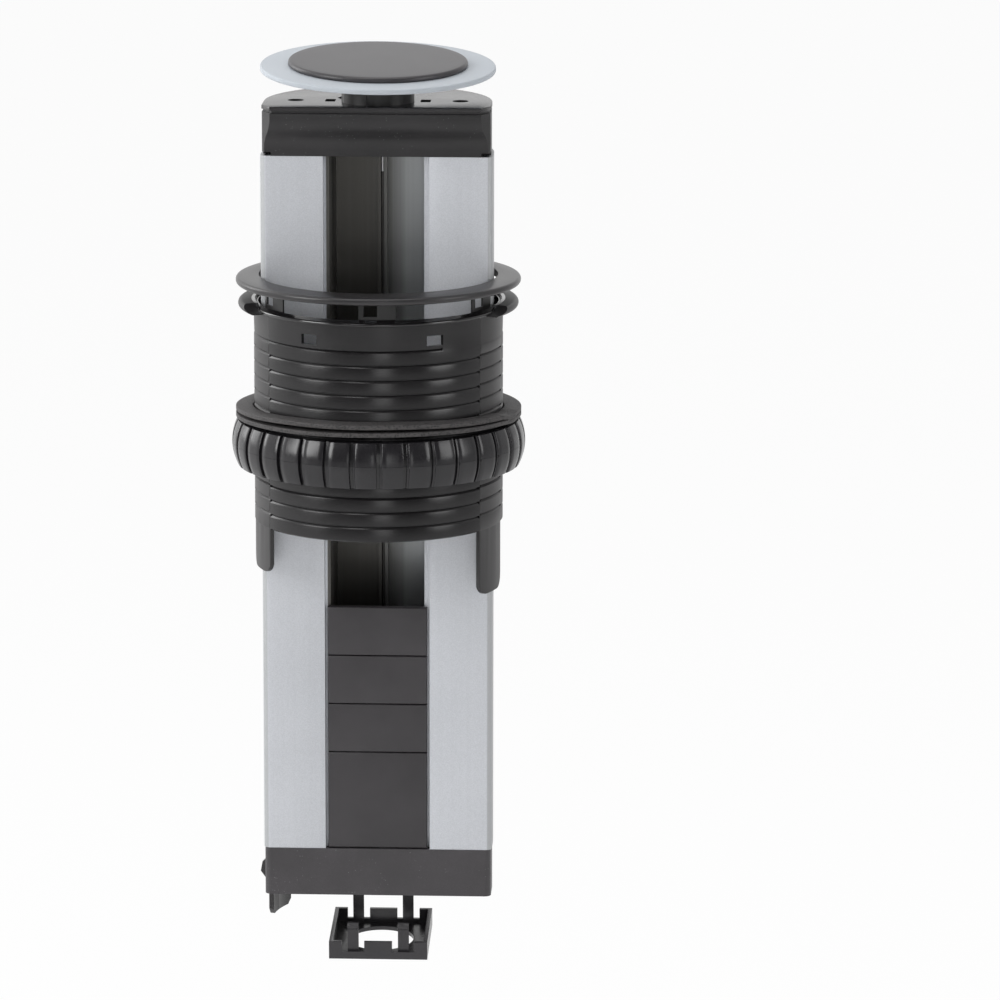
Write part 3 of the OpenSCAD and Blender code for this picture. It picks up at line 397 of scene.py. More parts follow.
@dataclass(frozen=True)
class Anodised:
    """Etched aluminium with fine speckles and faint draw lines, painted shade on its flat sides, and a bare
    drawn finish inside the bay with painted light and shade, dark on the left and light on the right.
    """

    dark: Colour = (0.53, 0.545, 0.575)
    light: Colour = (0.65, 0.665, 0.70)
    # painted shade and painted light of the bay, from its left side to its right
    bay_painted_shade: Colour = (0.094, 0.090, 0.082)
    bay_painted_light: Colour = (0.50, 0.52, 0.53)
    # painted shade of the column's flat sides
    painted_flank_shade: Colour = (0.30, 0.305, 0.295)
    painted_flank_shade_share: float = 0.5
    painted_flank_shade_from: float = 0.0498
    metal: float = 0.55
    rough: float = 0.5
    speckle: Pattern = (2300.0, 2.0, 0.7)
    speckle_rough: float = 0.1
    clouds: Pattern = (14.0, 2.0, 0.5)
    lines: Pattern = (500.0, 1.0, 0.5, (1.0, 1.0, 0.01))
    shares: Spot = (0.62, 0.3, 0.08)
    contrast: Point = (0.3, 0.7)
    drawn: Pattern = (260.0, 3.0, 0.6, (1.0, 1.0, 0.004))
    bay_painted_contrast: Point = (0.15, 1.1)
    bay_shade_and_drawn_shares: Point = (0.8, 0.4)
    bare_gloss: float = 0.35
    bare_flattens: float = 0.8
    bay_left: float = -0.0226
    bay_right: float = 0.0201
    bay_front: float = -0.0150
    shade_from: float = -0.006
    shade_to: float = 0.020

    def make(self) -> Surface:
        """Builds the node material."""
        surface = Surface("anodised_aluminium", Slot.ANODISED, Metallic=self.metal)
        speckle, clouds, lines, drawn = (surface.noise(*pattern)
                                         for pattern in (self.speckle, self.clouds, self.lines, self.drawn))
        mottle = speckle * self.shares[0] + clouds * self.shares[1] + lines * self.shares[2]
        etched = surface.shades(mottle.rise(*self.contrast), self.dark, self.light)
        across = surface.axis("X")
        # painted shade: past this width the column's sides are darkened to the grey they show when turned
        # from the light
        painted_flank_shade = abs(across).past(self.painted_flank_shade_from, 0.0003)
        etched = surface.shades(painted_flank_shade * self.painted_flank_shade_share, etched, self.painted_flank_shade)
        inside = across.past(self.bay_left, 0.0002) * across.past(self.bay_right, -0.0002)
        inside = inside * surface.axis("Y").rise(self.bay_front, self.bay_front + 0.0004)
        # painted light and shade: between these widths and behind the bay's front, which takes in the bay and
        # the column's back, the colour runs from dark on the left, where the left wall shades the bay, to
        # light on the right, mixed with real draw lines
        shade = across.rise(self.shade_from, self.shade_to) * self.bay_shade_and_drawn_shares[0]
        shade = shade + drawn * self.bay_shade_and_drawn_shares[1]
        bay_painted_light_and_shade = surface.shades(shade.rise(*self.bay_painted_contrast), self.bay_painted_shade, self.bay_painted_light)
        rough = speckle * self.speckle_rough + (self.rough - self.speckle_rough / 2)
        rough = rough * (1.0 - inside * self.bare_gloss)
        relief = speckle * (1.0 - inside * self.bare_flattens) + drawn * inside
        return surface.dress(surface.shades(inside, etched, bay_painted_light_and_shade), rough, relief, 0.00003, 0.5)


@dataclass(frozen=True)
class FrostedGlass:
    """Satin-etched disc: milky, faintly blue, a little light passing through it."""

    milk: Colour = (0.53, 0.57, 0.615)
    pale: Colour = (0.60, 0.64, 0.685)
    frost: Pattern = (1800.0, 2.0, 0.6)
    clouds: Pattern = (30.0, 3.0)
    cloud_share: float = 0.8

    def make(self) -> Surface:
        """Builds the node material."""
        surface = Surface("frosted_glass", Slot.GLASS, Transmission_Weight=0.25, IOR=1.45,
                          Specular_IOR_Level=0.4)
        frost = surface.noise(*self.frost)
        mottle = surface.noise(*self.clouds) * self.cloud_share + frost * (1.0 - self.cloud_share)
        colour = surface.shades(mottle, self.milk, self.pale)
        return surface.dress(colour, frost * 0.1 + 0.45, frost, 0.00003, 0.5)


@dataclass(frozen=True)
class Foam:
    """Closed-cell foam: tiny open cells on its skin and paler cut edges."""

    dark: Colour = (0.018, 0.017, 0.018)
    light: Colour = (0.062, 0.058, 0.058)
    cells: float = 1100.0
    cell_edge: Point = (0.1, 0.6)
    clouds: Pattern = (260.0, 4.0, 0.7)
    contrast: Point = (0.35, 0.75)

    def make(self) -> Surface:
        """Builds the node material."""
        surface = Surface("gasket_foam", Slot.FOAM, Specular_IOR_Level=0.4)
        cells = surface.cells(self.cells).rise(*self.cell_edge)
        cloud = surface.noise(*self.clouds)
        colour = surface.shades((cells * 0.5 + cloud * 0.5).rise(*self.contrast), self.dark, self.light)
        return surface.dress(colour, cells * 0.1 + 0.5, cells + cloud * 0.4, 0.00025)


@dataclass(frozen=True)
class Felt:
    """Short grey fibres of a glide strip."""

    dark: Colour = (0.2, 0.2, 0.19)
    light: Colour = (0.36, 0.36, 0.34)
    fibres: Pattern = (2400.0, 3.0, 0.7, (1.0, 1.0, 0.3))

    def make(self) -> Surface:
        """Builds the node material."""
        surface = Surface("glide_felt", Slot.GLIDE, Sheen_Weight=0.4, Sheen_Roughness=0.5)
        fibre = surface.noise(*self.fibres)
        return surface.dress(surface.shades(fibre, self.dark, self.light), fibre * 0.1 + 0.8, fibre, 0.0001)


@dataclass(frozen=True)
class Metal:
    """Plated metal of the small fasteners, turned marks and all."""

    name: str
    slot: Slot
    dark: Colour
    light: Colour
    marks: Pattern = (700.0, 3.0, 0.6, (1.0, 1.0, 4.0))

    def make(self) -> Surface:
        """Builds the node material."""
        surface = Surface(self.name, self.slot, Metallic=1.0)
        marks = surface.noise(*self.marks)
        colour = surface.shades(marks, self.dark, self.light)
        return surface.dress(colour, marks * 0.15 + 0.23, marks, 0.00002)


class Finishes:
    """All the finishes of the tower, each made once."""

    def __init__(self) -> None:
        """Builds every material."""
        self.collar = Plastic("collar_plastic", Slot.COLLAR, (0.007, 0.0064, 0.007), (0.013, 0.012, 0.013),
                              0.21, 1900.0, 0.00002, gloss_above=0.0006, gloss_coat=0.4,
                              dull_past=0.0474).make()
        self.nut = Plastic("nut_plastic", Slot.COLLAR, (0.008, 0.0073, 0.009), (0.015, 0.014, 0.016),
                           0.21, 1600.0, 0.00002).make()
        # the ring's legs get painted shade below 10.4 mm
        self.ring = Plastic("ring_plastic", Slot.COLLAR, (0.016, 0.015, 0.016), (0.027, 0.025, 0.027),
                            0.3, 2300.0, 0.00003, painted_shade_below=0.0104).make()
        self.neck = Plastic("neck_plastic", Slot.COLLAR, (0.004, 0.0037, 0.004), (0.008, 0.0073, 0.008),
                            0.42, 1600.0, 0.00002).make()
        self.plate = Plastic("plate_plastic", Slot.BLACK, (0.018, 0.017, 0.018), (0.028, 0.026, 0.028),
                             0.2, 2200.0, 0.00002).make()
        self.frame = Plastic("frame_plastic", Slot.BLACK, (0.018, 0.0165, 0.019), (0.030, 0.0275, 0.031),
                             0.24, 2200.0, 0.00003).make()
        self.head = Plastic("cove_plastic", Slot.BLACK, (0.009, 0.0083, 0.009), (0.017, 0.0155, 0.017),
                            0.38, 2200.0, 0.00005, specks=0.5, gloss_rough=0.1, cheek_reach=0.05108).make()
        self.cap = Plastic("cap_plastic", Slot.BLACK, (0.040, 0.037, 0.040), (0.058, 0.053, 0.058),
                           0.4, 2200.0, 0.00005, specks=0.5).make()
        self.black = Plastic("head_plastic", Slot.BLACK, (0.014, 0.013, 0.014), (0.026, 0.024, 0.026),
                             0.38, 2200.0, 0.00005, specks=0.5).make()
        self.blank = Plastic("blank_plastic", Slot.BLANK, (0.028, 0.0255, 0.028), (0.041, 0.0375, 0.041),
                             0.42, 2600.0, 0.00005).make()
        self.disc = Plastic("disc_plastic", Slot.DISC, (0.030, 0.028, 0.031), (0.042, 0.039, 0.043),
                            0.34, 2600.0, 0.00004).make()
        self.terminal = Plastic("terminal_plastic", Slot.TERMINAL, (0.62, 0.62, 0.58), (0.72, 0.72, 0.68),
                                0.35, 900.0, 0.00004).make()
        self.anodised = Anodised().make()
        self.glass = FrostedGlass().make()
        self.foam = Foam().make()
        self.felt = Felt().make()
        self.steel = Metal("zinc_plated_steel", Slot.STEEL, (0.42, 0.42, 0.43), (0.6, 0.6, 0.61)).make()
        self.brass = Metal("terminal_brass", Slot.BRASS, (0.55, 0.4, 0.18), (0.75, 0.58, 0.3)).make()


# ---------------------------------------------------------------- mesh helpers


def in_place(mesh: Mesh, node: str, surface: Surface, body: Body, edge: float = 0.0,
             smooth_deg: float = 32.0) -> bpy.types.Object:
    """Turns a bmesh in millimetres into a shaded piece that takes the place of one node.

    Args:
        mesh: the piece's geometry in the part's frame; it is freed.
        node: the CAD node that it stands for.
        surface: its finish.
        body: the body that it moves with.
        edge: width of the bevel on its crisp edges, or 0 for none.
        smooth_deg: edges sharper than this stay crisp.

    Returns:
        The new object.
    """
    name = f"{node}_shell"
    ops.scale(mesh, vec=(MM, MM, MM), verts=mesh.verts)
    data = stored(mesh, name)
    data.materials.append(surface.material)
    data.shade_smooth()
    data.set_sharp_from_angle(angle=radians(smooth_deg))
    piece = linked(name, data)
    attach(piece, body.value)
    if edge:
        bevel = piece.modifiers.new("edge_radius", "BEVEL")
        bevel.width = edge * MM
        bevel.segments = 2
        bevel.limit_method = "ANGLE"
        bevel.angle_limit = radians(40)
        bevel.harden_normals = True
        bevel.use_clamp_overlap = True
    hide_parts(node)
    log.info("made %s with %d faces", name, len(data.polygons))
    return piece


def stored(mesh: Mesh, name: str = "work") -> bpy.types.Mesh:
    """Turns a bmesh into mesh data and frees it."""
    data = bpy.data.meshes.new(name)
    mesh.to_mesh(data)
    mesh.free()
    return data


def linked(name: str, data: bpy.types.ID) -> bpy.types.Object:
    """Makes an object of some data and puts it into the scene."""
    thing = bpy.data.objects.new(name, data)
    bpy.context.scene.collection.objects.link(thing)
    return thing


def turned(profile: Sequence[Point], steps: int, start_deg: float = 0.0, span_deg: float = 360.0) -> Mesh:
    """Turns a closed profile of (radius, height) points about Z.

    Args:
        profile: the section's points in order.
        steps: faces around.
        start_deg: where the turn starts.
        span_deg: how far it goes; less than a full turn gets flat ends.

    Returns:
        The mesh, with its faces pointing outwards.
    """
    mesh = bmesh.new()
    points = [mesh.verts.new((r, 0.0, z)) for r, z in profile]
    edges = [mesh.edges.new(pair) for pair in zip(points, points[1:] + points[:1])]
    full = span_deg >= 360
    ops.rotate(mesh, verts=points, cent=(0, 0, 0), matrix=spun(start_deg - 90).to_3x3())
    ops.spin(mesh, geom=points + edges, cent=(0, 0, 0), axis=(0, 0, 1), angle=radians(span_deg),
             steps=steps, use_merge=full)
    ops.remove_doubles(mesh, verts=mesh.verts, dist=1e-4)
    if not full:
        ops.holes_fill(mesh, edges=[edge for edge in mesh.edges if edge.is_boundary], sides=0)
    ops.recalc_face_normals(mesh, faces=mesh.faces)
    return mesh


def prism(outline: Sequence[Point], low: float, high: float) -> Mesh:
    """Extrudes a closed outline of (x, y) points from one height to another."""
    mesh = bmesh.new()
    floor = mesh.faces.new([mesh.verts.new((x, y, low)) for x, y in outline])
    grown = ops.extrude_face_region(mesh, geom=[floor])["geom"]
    upper = [item for item in grown if isinstance(item, bmesh.types.BMVert)]
    ops.translate(mesh, verts=upper, vec=(0, 0, high - low))
    ops.recalc_face_normals(mesh, faces=mesh.faces)
    return mesh


def block(x0: float, x1: float, y0: float, y1: float, z0: float, z1: float) -> Mesh:
    """Makes a box between two corners."""
    mesh = bmesh.new()
    ops.create_cube(mesh, size=1.0)
    ops.scale(mesh, vec=(x1 - x0, y1 - y0, z1 - z0), verts=mesh.verts)
    ops.translate(mesh, vec=((x0 + x1) / 2, (y0 + y1) / 2, (z0 + z1) / 2), verts=mesh.verts)
    return mesh


def rod(radius: float, low: float, high: float, at: Point = (0.0, 0.0), steps: int = 64) -> Mesh:
    """Makes an upright cylinder."""
    mesh = bmesh.new()
    ops.create_cone(mesh, cap_ends=True, segments=steps, radius1=radius, radius2=radius, depth=high - low)
    ops.translate(mesh, vec=(*at, (low + high) / 2), verts=mesh.verts)
    return mesh


def placed(mesh: Mesh, matrix: Matrix) -> Mesh:
    """Moves a mesh by a matrix and returns it."""
    ops.transform(mesh, matrix=matrix, verts=mesh.verts)
    return mesh


def gathered(meshes: Iterable[Mesh]) -> Mesh:
    """Puts several meshes into one and frees them."""
    whole = bmesh.new()
    for mesh in meshes:
        data = stored(mesh)
        whole.from_mesh(data)
        bpy.data.meshes.remove(data)
    return whole


def worked(body: Mesh, tool: Mesh, cut: Cut = Cut.TAKE_OUT) -> Mesh:
    """Cuts one mesh with another or joins them.

    Args:
        body: the mesh that is worked on; it is freed.
        tool: the mesh that works on it; it is freed.
        cut: what the tool does.

    Returns:
        The new mesh.
    """
    things = [linked("work", stored(mesh)) for mesh in (body, tool)]
    boolean = things[0].modifiers.new("work", "BOOLEAN")
    boolean.operation = cut.value
    boolean.solver = "EXACT"
    boolean.object = things[1]
    seen = things[0].evaluated_get(bpy.context.evaluated_depsgraph_get())
    result = bmesh.new()
    result.from_mesh(seen.to_mesh())
    seen.to_mesh_clear()
    for thing in things:
        data = thing.data
        bpy.data.objects.remove(thing)
        bpy.data.meshes.remove(data)
    ops.remove_doubles(result, verts=result.verts, dist=MERGE_CUT)
    return result


def softened(mesh: Mesh, width: float, chosen: Callable[[bmesh.types.BMEdge], bool]) -> Mesh:
    """Rounds the chosen edges of a mesh and returns it."""
    edges = [edge for edge in mesh.edges if chosen(edge)]
    ops.bevel(mesh, geom=edges, offset=width, offset_type="OFFSET", affect="EDGES", segments=3,
              profile=0.5, material=-1, clamp_overlap=True)
    return mesh


def crisp(edge: bmesh.types.BMEdge) -> bool:
    """Whether an edge turns by more than 40 degrees."""
    return len(edge.link_faces) == 2 and edge.calc_face_angle() > radians(40)


def bow(centre: Point, radius: float, from_deg: float, to_deg: float, steps: int = 6) -> list[Point]:
    """Points of an arc, from one angle to another."""
    turns = [radians(from_deg + (to_deg - from_deg) * i / steps) for i in range(steps + 1)]
    return [(centre[0] + radius * cos(turn), centre[1] + radius * sin(turn)) for turn in turns]


def spun(turn_deg: float) -> Matrix:
    """Turn about Z."""
    return Matrix.Rotation(radians(turn_deg), 4, "Z")


def bearing(point: Vector) -> float:
    """Angle of a point round the axis, from -180 to 180 degrees."""
    return degrees(atan2(point.x, -point.y))


@dataclass
class Assembly:
    """A sub-assembly with the finishes and the frame that it is built from."""

    surfaces: Finishes
    frame: dict

    def carried(self, body: Body, node: str, surface: Surface, edge: float = 0.18, smooth_deg: float = 30.0,
                flatten: bool = True) -> bpy.types.Object:
        """Builds a CAD node that keeps its shape: a merged copy with clean faces and soft edges.

        Args:
            body: the body that it moves with.
            node: the CAD node, which gets hidden.
            surface: its finish.
            edge: width of the bevel on its crisp edges, or 0 for none.
            smooth_deg: edges sharper than this stay crisp.
            flatten: whether flat faces are joined.

        Returns:
            The new object.
        """
        mesh = bmesh.new()
        mesh.from_mesh(self.frame["nodes"][node].data)
        ops.scale(mesh, vec=(1 / MM, 1 / MM, 1 / MM), verts=mesh.verts)
        ops.remove_doubles(mesh, verts=mesh.verts, dist=MERGE_NODE)
        if flatten:
            ops.dissolve_limit(mesh, angle_limit=radians(0.6), verts=mesh.verts, edges=mesh.edges,
                               use_dissolve_boundaries=False)
        return in_place(mesh, node, surface, body, edge, smooth_deg)

    def carry(self, body: Body, *rows: tuple[str, Surface] | tuple[str, Surface, float]) -> None:
        """Builds the carried nodes of one body, each given with its finish and maybe its edge."""
        for row in rows:
            self.carried(body, *row)


# ---------------------------------------------------------------- studio


@dataclass
class Studio:
    """Camera, floor, world and lamps, set as the photograph was taken."""

    distance: float = 2.657
    height: float = 0.4705
    pitch_deg: float = 11.9
    azimuth_deg: float = 3.5
    yaw_deg: float = 1.181
    roll_deg: float = 0.105
    lens: float = 216.0
    floor_z: float = -0.62
    floor_half: float = 30.0
    floor_tone: float = 0.86
    floor_white: float = 0.93
    behind: float = 1.0
    front: float = 0.14
    left: float = 1.2
    right: float = 0.6

    def camera(self) -> None:
        """Places the camera."""
        data = bpy.data.cameras.new("camera")
        data.lens = self.lens
        data.sensor_width = 36.0
        data.clip_end = 60.0
        camera = linked("camera", data)
        turn = radians(self.azimuth_deg)
        camera.location = (self.distance * sin(turn), -self.distance * cos(turn), self.height)
        camera.rotation_euler = (spun(self.azimuth_deg - self.yaw_deg)
                                 @ Matrix.Rotation(radians(90 - self.pitch_deg), 4, "X")
                                 @ spun(self.roll_deg)).to_euler()
        bpy.context.scene.camera = camera

    def lamp(self, name: str, place: Spot, target_z: float, size: Point, power: float) -> None:
        """Adds one soft box.

        Args:
            name: the lamp's name.
            place: where it stands.
            target_z: height of the point on the axis that it faces.
            size: its width and height.
            power: its strength in watts.
        """
        data = bpy.data.lights.new(name, "AREA")
        data.shape = "RECTANGLE"
        data.size, data.size_y = size
        data.energy = power
        lamp = linked(name, data)
        lamp.location = place
        lamp.rotation_euler = (Vector((0, 0, target_z)) - Vector(place)).to_track_quat("-Z", "Y").to_euler()

    def floor(self) -> None:
        """Lays the pale floor, which shows plain white to the camera except for the shadow on it."""
        mesh = bmesh.new()
        ops.create_grid(mesh, x_segments=1, y_segments=1, size=self.floor_half)
        ops.translate(mesh, verts=mesh.verts, vec=(0, 0, self.floor_z))
        data = stored(mesh, "floor")
        material = bpy.data.materials.new("floor_white")
        data.materials.append(material)
        graph = Graph(material)
        paint = graph.add("BsdfDiffuse", {"Color": (*[self.floor_tone] * 3, 1.0)})
        white = graph.add("Emission", {"Color": WHITE, "Strength": 1.0})
        seen, mirrored = graph.rays()
        # gloss mirrors a white floor behind the object and on its left, and lit paint in front
        backdrop = (graph.axis("Y") - graph.axis("X") * 0.9).rise(-0.2, 1.5)
        mix = graph.add("MixShader", {
            0: (seen | mirrored * backdrop) * self.floor_white,
            1: paint.outputs["BSDF"],
            2: white.outputs["Emission"],
        })
        graph.add("OutputMaterial", {"Surface": mix.outputs["Shader"]})
        linked("floor", data)

    def world(self) -> None:
        """Sets a world that is white to the camera and glass, and dimmer and uneven to the rest."""
        world = bpy.data.worlds.new("studio")
        bpy.context.scene.world = world
        graph = Graph(world)
        across, depth = (graph.axis(letter, "Generated") for letter in "XY")
        light = depth.rise(-0.55, 0.35, self.front, self.behind)
        light = light * across.rise(-0.8, 0.8, self.left, self.right)
        seen, mirrored = graph.rays()
        # what the gloss mirrors from straight behind the object is white too
        plain = seen | mirrored * depth.rise(0.75, 0.9)
        strength = plain + (1.0 - plain) * light
        back = graph.add("Background", {"Color": WHITE, "Strength": strength})
        graph.add("OutputWorld", {"Surface": back.outputs["Background"]})

    def build(self) -> None:
        """Sets up everything that isn't part of the object."""
        bpy.context.scene.view_settings.view_transform = "Standard"
        self.camera()
        self.floor()
        self.world()
        self.lamp("key_left", (-2.1, -1.25, 0.9), -0.05, (1.1, 1.5), 38.0)
        self.lamp("fill_right", (2.2, -1.1, 0.7), -0.05, (1.0, 1.5), 17.0)
        self.lamp("back_left", (-1.9, 1.1, 0.7), -0.05, (0.8, 1.5), 11.0)
        self.lamp("front_high", (-0.7, -1.6, 1.9), -0.02, (0.7, 0.5), 5.0)
        self.lamp("front_level", (0.3, -2.4, 0.2), 0.0, (0.6, 0.9), 3.0)
        self.lamp("top", (0.0, -0.3, 2.0), 0.0, (1.6, 1.0), 12.0)
        log.info("the studio is set")


# ---------------------------------------------------------------- sub-assemblies


@dataclass
class Lid(Assembly):
    """Frosted disc and press disc on the rocking hub."""

    glass_r: float = 52.6
    glass_t: float = 2.5
    glass_z: float = 106.4
    glass_edge: float = 0.8
    glass_hole_r: float = 6.1
    disc_r: float = 40.1
    disc_t: float = 2.9
    disc_recess: float = 1.6
    disc_dome: float = 0.35
    disc_foot: float = 0.6
    boss_r: float = 8.0
    pin_z: float = 101.3
    tip_deg: float = 4.2
    tip_dir_deg: float = 10.0
    press: float = 3.0
    steps: int = 224

    def tipped(self, mesh: Mesh) -> Mesh:
        """Tips a piece that was drawn level about the rocker pin."""
        pin = Vector((0, 0, self.pin_z))
        lean = Matrix.Rotation(radians(self.tip_deg), 4, "X")
        lean = spun(self.tip_dir_deg) @ lean @ spun(-self.tip_dir_deg)
        return placed(mesh, Matrix.Translation(pin) @ lean @ Matrix.Translation(-pin))

    def glass(self) -> Mesh:
        """Builds the frosted disc with its polished round edge."""
        low, high, edge = self.glass_z, self.glass_z + self.glass_t, self.glass_edge
        rim = self.glass_r - edge
        profile = [(self.glass_hole_r, low), *bow((rim, low + edge), edge, -90, 0),
                   *bow((rim, high - edge), edge, 0, 90), (self.glass_hole_r, high)]
        return self.tipped(turned(profile, self.steps))

    def disc(self) -> Mesh:
        """Builds the press disc, a shallow cup with a rolled shoulder."""
        low, r, edge = self.glass_z + self.glass_t, self.disc_r, self.disc_t * 0.5
        top = low + self.disc_t
        recess = low + self.disc_recess
        crown = [(r * share, top - self.disc_dome * share * share) for share in (0.9, 0.7, 0.45, 0.2)]
        profile = [(0.0, recess), (self.boss_r, recess), (self.boss_r, low), (r - self.disc_foot, low),
                   (r - 0.05, low + 0.45), (r, low + 0.75),
                   *bow((r - edge, top - self.disc_dome - edge), edge, 0, 86, 8), *crown, (0.0, top)]
        return self.tipped(turned(profile, self.steps))

    def build(self) -> None:
        """Builds the lid and what it stands on."""
        in_place(self.glass(), "lid_glass", self.surfaces.glass, Body.LID)
        in_place(self.disc(), "press_disc", self.surfaces.disc, Body.LID, smooth_deg=50.0)
        self.carry(Body.LID, ("lid_hub", self.surfaces.black), ("hub_screw", self.surfaces.steel))
        self.carry(Body.STEM, ("neck", self.surfaces.neck), ("rocker_pin", self.surfaces.steel))
        spring = self.carried(Body.STEM, "lid_spring", self.surfaces.steel, 0.0, 70.0, flatten=False)
        # the spring hangs under the neck, so its foot stays in the head while the lid is pressed
        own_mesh(spring)


@dataclass
class Head(Assembly):
    """Head with its finger cove, plate and screws."""

    r: float = 51.1
    front_y: float = 21.0
    front_w: float = 94.0
    cheek_y: float = 14.0
    top: float = 92.6
    plate_t: float = 1.8
    plate_edge: float = 0.45
    neck_r: float = 16.35
    screw_at: Point = (36.8, 1.0)
    screw_hole_r: float = 3.6
    latch_at: Point = (21.3, 1.0)
    latch_size: Point = (4.5, 8.0)
    catch: Box = (-18.65, -16.25, 9.0, 12.0, -0.2, 0.9)
    catch_toe: float = 0.05

    def outline(self) -> list[Point]:
        """Outline of the plate: a round back, straight sides and chamfered front corners."""
        half = self.front_w / 2
        return [*bow((0.0, 0.0), self.r, 0, 180, 96), (-self.r, -self.cheek_y), (-half, -self.front_y),
                (half, -self.front_y), (self.r, -self.cheek_y)]

    def plate(self) -> Mesh:
        """Builds the top plate with its rolled edge, holes and the small ramp of the lid's catch."""
        low = self.top - self.plate_t
        plate = prism(self.outline(), low, self.top)
        plate = softened(plate, self.plate_edge,
                         lambda edge: crisp(edge) and min(vert.co.z for vert in edge.verts) > self.top - 0.01)
        through = (low - 1, self.top + 1)
        holes = [rod(self.neck_r, *through, steps=128)]
        half_w, half_l = self.latch_size[0] / 2, self.latch_size[1] / 2
        for side in (-1, 1):
            holes.append(rod(self.screw_hole_r, *through, (side * self.screw_at[0], self.screw_at[1])))
            x, y = side * self.latch_at[0], self.latch_at[1]
            holes.append(block(x - half_w, x + half_w, y - half_l, y + half_l, *through))
        plate = worked(plate, gathered(holes))
        x0, x1, y0, y1, z0, z1 = self.catch
        ramp = prism([(x0, z0), (x1, z0), (x1, z1), (x0, self.catch_toe)], y0, y1)
        # the ramp is drawn lying, so its y and z change places
        upright = Matrix(((1, 0, 0, 0), (0, 0, 1, 0), (0, 1, 0, self.top), (0, 0, 0, 1)))
        ramp = placed(ramp, upright)
        ops.recalc_face_normals(ramp, faces=ramp.faces)
        return worked(plate, ramp, Cut.JOIN)

    def build(self) -> None:
        """Builds the head."""
        in_place(self.plate(), "head_top_plate", self.surfaces.plate, Body.TOWER, edge=0.12)
        self.carry(Body.TOWER, ("head_body", self.surfaces.head), ("head_screws", self.surfaces.steel),
                   ("rear_head_screw", self.surfaces.steel))


@dataclass
class Blanks(Assembly):
    """Blank covers of the socket bays, each a plate on a hollow skirt."""

    width: float = 44.8
    skirt_w: float = 42.3
    front_y: float = -15.0
    plate_t: float = 3.5
    skirt_depth: float = 4.5
    seam: float = 0.4
    stack_top: float = -135.8
    pitch: float = 22.5
    edge: float = 0.55
    skirt_wall: float = 1.5
    skirt_inset: float = 0.8
    overlap: float = 0.5
    face_t: float = 2.2

    def blank(self, top: float, height: float) -> Mesh:
        """Builds one blank.

        Args:
            top: height of its upper end with its share of the seam.
            height: how much of the stack it takes.

        Returns:
            The blank's mesh.
        """
        low, high = top - height + self.seam / 2, top - self.seam / 2
        back, half = self.front_y + self.plate_t, self.skirt_w / 2
        rear = back + self.skirt_depth
        plate = block(-self.width / 2, self.width / 2, self.front_y, back, low, high)
        plate = softened(plate, self.edge,
                         lambda edge: max(vert.co.y for vert in edge.verts) < self.front_y + 0.01)
        inset, wall = self.skirt_inset, self.skirt_wall
        skirt = block(-half, half, back - self.overlap, rear, low + inset, high - inset)
        hollow = block(wall - half, half - wall, self.front_y + self.face_t, rear + 1,
                       low + inset + wall, high - inset - wall)
        return worked(worked(plate, skirt, Cut.JOIN), hollow)

    def build(self) -> None:
        """Builds the four blanks from the top down."""
        stack = (("blank_small_1", 1), ("blank_small_2", 1), ("blank_small_3", 1), ("blank_large", 2))
        for count, (node, rows) in enumerate(stack):
            mesh = self.blank(self.stack_top - count * self.pitch, rows * self.pitch)
            in_place(mesh, node, self.surfaces.blank, Body.TOWER, smooth_deg=50.0)


@dataclass
class Column(Assembly):
    """Aluminium column with its base cap, hanging outlet frame and terminal."""

    def build(self) -> None:
        """Builds the column and what it carries."""
        self.carry(Body.TOWER,
                   ("column", self.surfaces.anodised, 0.25),
                   ("base_cap", self.surfaces.cap, 0.3),
                   ("base_screws", self.surfaces.steel, 0.1),
                   ("stop_latch", self.surfaces.collar, 0.25),
                   ("terminal_carrier", self.surfaces.steel, 0.1),
                   ("terminal_block", self.surfaces.terminal, 0.2),
                   ("terminal_screws", self.surfaces.brass, 0.1),
                   ("earth_screw", self.surfaces.brass, 0.1))
        self.carry(Body.FRAME, ("outlet_frame", self.surfaces.frame, 0.2))


